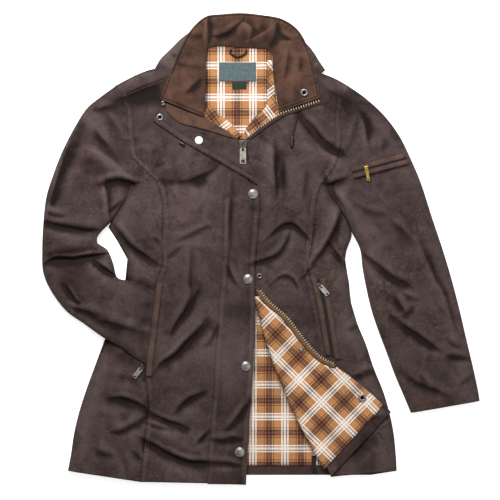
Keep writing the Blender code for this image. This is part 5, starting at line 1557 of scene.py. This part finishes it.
def card(node, look, slot):
    """A card in the solid's box: a low wave, less a fall by the twelfth power of the way to the edge."""
    low, high = (np.array(corner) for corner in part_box(node))
    u = np.linspace(-1.0, 1.0, CARD_COLUMNS)[None, :]
    v = np.linspace(1.0, -1.0, CARD_ROWS)[:, None]
    x = 0.5 * (low[0] + high[0]) + 0.5 * (high[0] - low[0]) * u + 0.0 * v
    y = 0.5 * (low[1] + high[1]) + 0.5 * (high[1] - low[1]) * v + 0.0 * u
    fall = np.maximum(np.abs(u), np.abs(v)) ** 12
    z = high[2] + CARD_WAVE * np.sin(5.0 * u + 2.0 * v) - CARD_FALL * fall
    cloth(node, np.stack([x, y, z], axis=-1), look, slot, CARD)


card("neck_label", LABEL_WEAVE, "woven_label")
card("size_tab", TAB_WEAVE, "size_tab")
card("vent_zip", DARK_TAPE, "zip_tape")

# %% [markdown]
# ## Hanger loop and drawcord
#
# A cord is a circle carried along a path. At each point of the path the circle lies in
# the plane across it, spanned by the level direction at right angles to the path and
# the one above it. The drawcord is 44 mm of braid from where it comes out to its end.

# %% Cords
LOOP = [(-0.060, 0.4015), (-0.061, 0.392), (-0.046, 0.385), (-0.031, 0.392), (-0.030, 0.4005)]
LOOP_RADIUS = 0.0021
CORD_PATH = [(0.0710, 0.2690), (0.0695, 0.2560), (0.0665, 0.2420), (0.0630, 0.2260)]
CORD_RADIUS = 0.0018
CORD_CLEAR = 0.0003


def swept(name, path, radius, sides=16):
    """A closed tube: cosine and sine of the turn around each path point, small at both ends."""
    ahead = np.gradient(path, axis=0)
    ahead = ahead / np.linalg.norm(ahead, axis=1, keepdims=True)
    level_way = np.cross(ahead, [0.0, 0.0, 1.0])
    level_way = level_way / np.linalg.norm(level_way, axis=1, keepdims=True)
    up = np.cross(level_way, ahead)
    turn = np.linspace(0.0, 2.0 * math.pi, sides, endpoint=False)[None, :, None]
    ends = np.concatenate([[0.05, 0.8], np.ones(len(path) - 4), [0.8, 0.05]])[:, None, None]
    ring = np.cos(turn) * level_way[:, None] + np.sin(turn) * up[:, None]
    points = path[:, None, :] + radius * ends * ring
    return grid_mesh(name, points, around=True)


loop_plan = through(LOOP, 8)
loop_path = np.column_stack([loop_plan, np.full(len(loop_plan), LINING_TOP + LOOP_RADIUS + CORD_CLEAR)])
put("hanger_loop_cord", swept("hanger_loop_cord", loop_path, LOOP_RADIUS), CORD_BRAID, "drawcord",
    "hanger_loop")
cord_plan = through(CORD_PATH, 10)
cord_rest = front_top(cord_plan[:, 0], cord_plan[:, 1]) + CORD_RADIUS + CORD_CLEAR
cord_path = np.column_stack([cord_plan, cord_rest])
drawcord = put("drawcord_braid", swept("drawcord_braid", cord_path, CORD_RADIUS), CORD_BRAID, "drawcord",
               "drawcord")

# %% [markdown]
# ## Stitching
#
# Top stitching holds every seam and edge down, and its rows are what make a flat panel
# look sewn. A stitch is a grain of rice: six points, two along the row, two across it
# and one above and below. A row of stitches follows a line at a fixed distance in from
# the edge of a piece, found along each row of the piece's grid.

# %% Stitching
STITCH_PITCH = 0.0044
STITCH_HALF = (0.0016, 0.00045, 0.0004)
STITCH_LIFT = 0.00015

# Distances of the rows of stitches in from an edge
SEAM_ROWS = (0.0020, 0.0078)
ARMHOLE_ROW = 0.0025
HEM_ROW = 0.0160
TRIM_ROW = 0.0030
WELT_ROW = 0.0016
PLACKET_LEFT_ROWS = (0.0022, 0.0080)
PLACKET_RIGHT_ROWS = (0.0030, 0.0120)
PLACKET_TURN_ROWS = (0.0030, 0.0110)
TURN_HEM_ROWS = (0.0020, 0.0170)

GRAIN = np.array([(1, 0, 0), (-1, 0, 0), (0, 1, 0), (0, -1, 0), (0, 0, 1), (0, 0, -1)], dtype=float)
GRAIN_FACES = np.array([(0, 2, 4), (2, 1, 4), (1, 3, 4), (3, 0, 4),
                        (2, 0, 5), (1, 2, 5), (3, 1, 5), (0, 3, 5)])


def inset_line(points, distance, right=False):
    """The line a distance in from the left edge of a grid, or from its right edge."""
    grid = points[:, ::-1] if right else points
    steps = np.linalg.norm(np.diff(grid, axis=1), axis=2)
    length = np.concatenate([np.zeros((len(grid), 1)), np.cumsum(steps, axis=1)], axis=1)
    row = np.arange(len(grid))
    column = np.maximum(np.argmax(length >= distance, axis=1), 1)
    before, after = length[row, column - 1], length[row, column]
    share = ((distance - before) / (after - before))[:, None]
    return grid[row, column - 1] * (1.0 - share) + grid[row, column] * share


def inset_row(points, distance, last=True):
    """The line a distance in from the last row of a grid, or from its first row."""
    return inset_line(points.transpose(1, 0, 2), distance, last)


def along_path(path, pitch):
    """Places at even steps along a path, with the level frame there: ahead, aside and up."""
    length = run_length(path)
    steps = (np.arange(max(1, int(length[-1] / pitch))) + 0.5) * pitch
    place = np.column_stack([np.interp(steps, length, path[:, k]) for k in range(3)])
    ahead = np.column_stack([np.interp(steps, length, np.gradient(path[:, k], length)) for k in range(3)])
    ahead = ahead / np.linalg.norm(ahead, axis=1, keepdims=True)
    aside = np.cross([0.0, 0.0, 1.0], ahead)
    aside = aside / np.linalg.norm(aside, axis=1, keepdims=True)
    return place, np.stack([ahead, aside, np.cross(ahead, aside)], axis=1)


def repeated(name, shape, faces, places, frames, look, slot):
    """One mesh of many copies of a small shape, each in its own frame."""
    points = places[:, None, :] + shape[None] @ frames
    count = len(shape)
    all_faces = faces[None] + count * np.arange(len(places))[:, None, None]
    mesh = bpy.data.meshes.new(name)
    mesh.from_pydata(points.reshape(-1, 3), [], all_faces.reshape(-1, faces.shape[1]))
    wear = mesh.attributes.new("wear", "FLOAT", "POINT")
    wear.data.foreach_set("value", np.zeros(points.shape[0] * count, dtype=np.float32))
    put(name, mesh, look, slot)


def stitched(name, paths, slot="waxed_cotton"):
    """Rows of stitches along some paths, just above the cloth."""
    spots = [along_path(path, STITCH_PITCH) for path in paths]
    places = np.concatenate([place for place, _ in spots]) + np.array([0.0, 0.0, STITCH_LIFT])
    frames = np.concatenate([turn for _, turn in spots])
    repeated(name, GRAIN * np.array(STITCH_HALF), GRAIN_FACES, places, frames, THREAD, slot)
    print("%s: %d stitches" % (name, len(places)))


frc, flc = fronts["front_right_centre"], fronts["front_left_centre"]
frs, fls = fronts["front_right_side"], fronts["front_left_side"]
arm_rows = 3 * SPAN_ROWS
stitched("stitching_fronts", [
    *(inset_line(frc, row)[arm_rows:] for row in SEAM_ROWS),
    *(inset_line(flc, row, True)[arm_rows:] for row in SEAM_ROWS),
    inset_line(frc, ARMHOLE_ROW)[:arm_rows], inset_line(flc, ARMHOLE_ROW, True)[:arm_rows],
    *(inset_row(panel, HEM_ROW) for panel in (frc, frs, fls)),
])
stitched("stitching_placket", [
    *(inset_line(placket, row) for row in PLACKET_LEFT_ROWS),
    *(inset_line(placket, row, True) for row in PLACKET_RIGHT_ROWS),
    *(inset_line(placket_turn, row) for row in PLACKET_TURN_ROWS),
    inset_line(placket_turn, TRIM_ROW, True), inset_row(placket, HEM_ROW),
])
stitched("stitching_collar", [
    inset_line(collar, GROOVE, True), inset_line(collar, TRIM_ROW), inset_row(collar, GROOVE),
    inset_row(collar, GROOVE, False), inset_line(guard, TRIM_ROW), inset_line(guard, TRIM_ROW, True),
], slot="brushed_collar")
stitched("stitching_pockets", [
    inset_line(strip, WELT_ROW, side) for strip in (welt_r, welt_lf, welt_lb, arm_upper, arm_lower)
    for side in (False, True)
], slot="corded_welt")
stitched("stitching_turn", [
    inset_line(turn_points, TURN_HEM_ROWS[0], True)[zip_rows:],
    *(inset_row(turn_points, row) for row in TURN_HEM_ROWS),
])

# %% [markdown]
# ## Zip teeth
#
# Cast teeth stand along the edge of the tape. Each is a small block, narrower on top,
# and they are repeated along the edge at the pitch of a coarse zip.

# %% Zip teeth
BLOCK = np.array([(-1, -1, 0), (1, -1, 0), (1, 1, 0), (-1, 1, 0),
                  (-0.7, -0.8, 1), (0.7, -0.8, 1), (0.7, 0.8, 1), (-0.7, 0.8, 1)], dtype=float)
BLOCK_FACES = np.array([(3, 2, 1, 0), (4, 5, 6, 7), (0, 1, 5, 4), (1, 2, 6, 5), (2, 3, 7, 6), (3, 0, 4, 7)])

# Pitch, then half length, half width and height of a tooth
COARSE_PITCH, COARSE_TOOTH = 0.0053, (0.0011, 0.0026, 0.0016)
FINE_PITCH, FINE_TOOTH = 0.0020, (0.0006, 0.0012, 0.0007)
VENT_POINTS = 12
VENT_END = 0.002


def toothed(name, paths, pitch, size, look):
    """Teeth at even steps along the edges of tapes."""
    spots = [along_path(path, pitch) for path in paths]
    places = np.concatenate([place for place, _ in spots])
    frames = np.concatenate([turn for _, turn in spots])
    repeated(name, BLOCK * np.array(size), BLOCK_FACES, places, frames, look, "brass")
    print("%s: %d teeth" % (name, len(places)))


vent_low, vent_high = (np.array(corner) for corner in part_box("vent_zip"))
vent_line = np.column_stack([np.full(VENT_POINTS, 0.5 * (vent_low[0] + vent_high[0])),
                             np.linspace(vent_low[1] + VENT_END, vent_high[1] - VENT_END, VENT_POINTS),
                             np.full(VENT_POINTS, vent_high[2])])
TOP_STOP = np.array([(-0.1970, 0.2970), (-0.1945, 0.2865)])
top_stop = np.column_stack([TOP_STOP, front_top(TOP_STOP[:, 0], TOP_STOP[:, 1]) + 2.0 * (LIE + CLOTH)])
toothed("teeth_front", [tape_top[:, 0], tape_turn[:, -1], top_stop], COARSE_PITCH, COARSE_TOOTH, TEETH)
toothed("teeth_pockets", [tape_l[:, 4], tape_r[:, 4], arm_zip[:, 4], vent_line], FINE_PITCH, FINE_TOOTH,
        PLASTIC)

# %% [markdown]
# ## Snaps
#
# Caps, sockets and studs are turned pieces: a profile of radius and height goes round
# the axis. They take the place and size of the solid they stand for.

# %% Snaps
# Profiles: radius, then height, as shares of the solid's
CAP = [(0, 0), (0.94, 0), (1.0, 0.12), (0.985, 0.40), (0.93, 0.60), (0.86, 0.66), (0.81, 0.58), (0.76, 0.60),
       (0.68, 0.80), (0.50, 0.93), (0.25, 0.99), (0, 1)]
SOCKET = [(0, 0), (0.94, 0), (1.0, 0.12), (0.97, 0.45), (0.87, 0.80), (0.74, 1.0), (0.60, 0.98),
          (0.47, 0.86), (0.46, 0.50), (0.40, 0.42), (0, 0.40)]
DISC = [(0, 0), (0.94, 0), (1.0, 0.20), (0.985, 0.62), (0.94, 0.86), (0.86, 0.96), (0.50, 1.0), (0, 1)]
HOLLOW = 0.60
HOLLOW_RADIUS = 0.5
POLE_MERGE = 0.000002
SNAPS = {
    "snap_cap_1": CAP, "snap_cap_2": CAP, "snap_cap_3": CAP, "snap_cap_4": CAP, "snap_back_flap": DISC,
    "snap_post_turn": CAP, "snap_socket_flap": SOCKET, "snap_stud": SOCKET, "snap_socket_collar": SOCKET,
    "snap_socket_turn": SOCKET}


def turned(node, profile, look, slot, sides=40):
    """Radius and height round the axis, scaled to the solid's box; the two poles are welded."""
    low, high = (np.array(corner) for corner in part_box(node))
    shape = np.array(profile, dtype=float)
    turn = -np.linspace(0.0, 2.0 * math.pi, sides, endpoint=False)
    radius = 0.5 * (high[0] - low[0]) * shape[:, :1]
    x = 0.5 * (low[0] + high[0]) + radius * np.cos(turn)
    y = 0.5 * (low[1] + high[1]) + radius * np.sin(turn)
    z = np.broadcast_to(low[2] + (high[2] - low[2]) * shape[:, 1:], x.shape)
    sunk = (np.arange(len(shape)) > 1) & (shape[:, 1] < HOLLOW) & (shape[:, 0] < HOLLOW_RADIUS)
    points = np.stack([x, y, z], axis=-1)
    # The mesh value is -1 on the sunk centre and 0 elsewhere, so the metal paints that centre dark as shade.
    mesh = grid_mesh(node + "_turned", points, around=True, tone=-1.0 * sunk[:, None] - relief(points))
    made = put(node + "_turned", mesh, look, slot, node)
    weld = made.modifiers.new("poles", "WELD")
    weld.merge_threshold = POLE_MERGE


for node, profile in SNAPS.items():
    turned(node, profile, ENAMEL if profile is DISC else SNAP, "pewter")
print("snaps:", len(SNAPS))

# %% [markdown]
# ## Sliders, pull tabs and cord ends
#
# The solids of these have the right shape, so they stay and only get a finish.

# %% Finishes for the solids that stay
KEPT = {
    PEWTER: ("zip_pull", "pocket_right_pull", "pocket_left_pull"),
    SLIDER: ("zip_slider", "pocket_right_slider", "pocket_left_slider"),
    BRASS: ("sleeve_pocket_slider", "sleeve_pocket_pull"),
    PLASTIC: ("cord_end_left", "cord_end_right"),
}
for look, nodes in KEPT.items():
    for node in nodes:
        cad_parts[node].data.materials.clear()
        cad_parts[node].data.materials.append(look)
print("kept solids:", sum(len(nodes) for nodes in KEPT.values()))
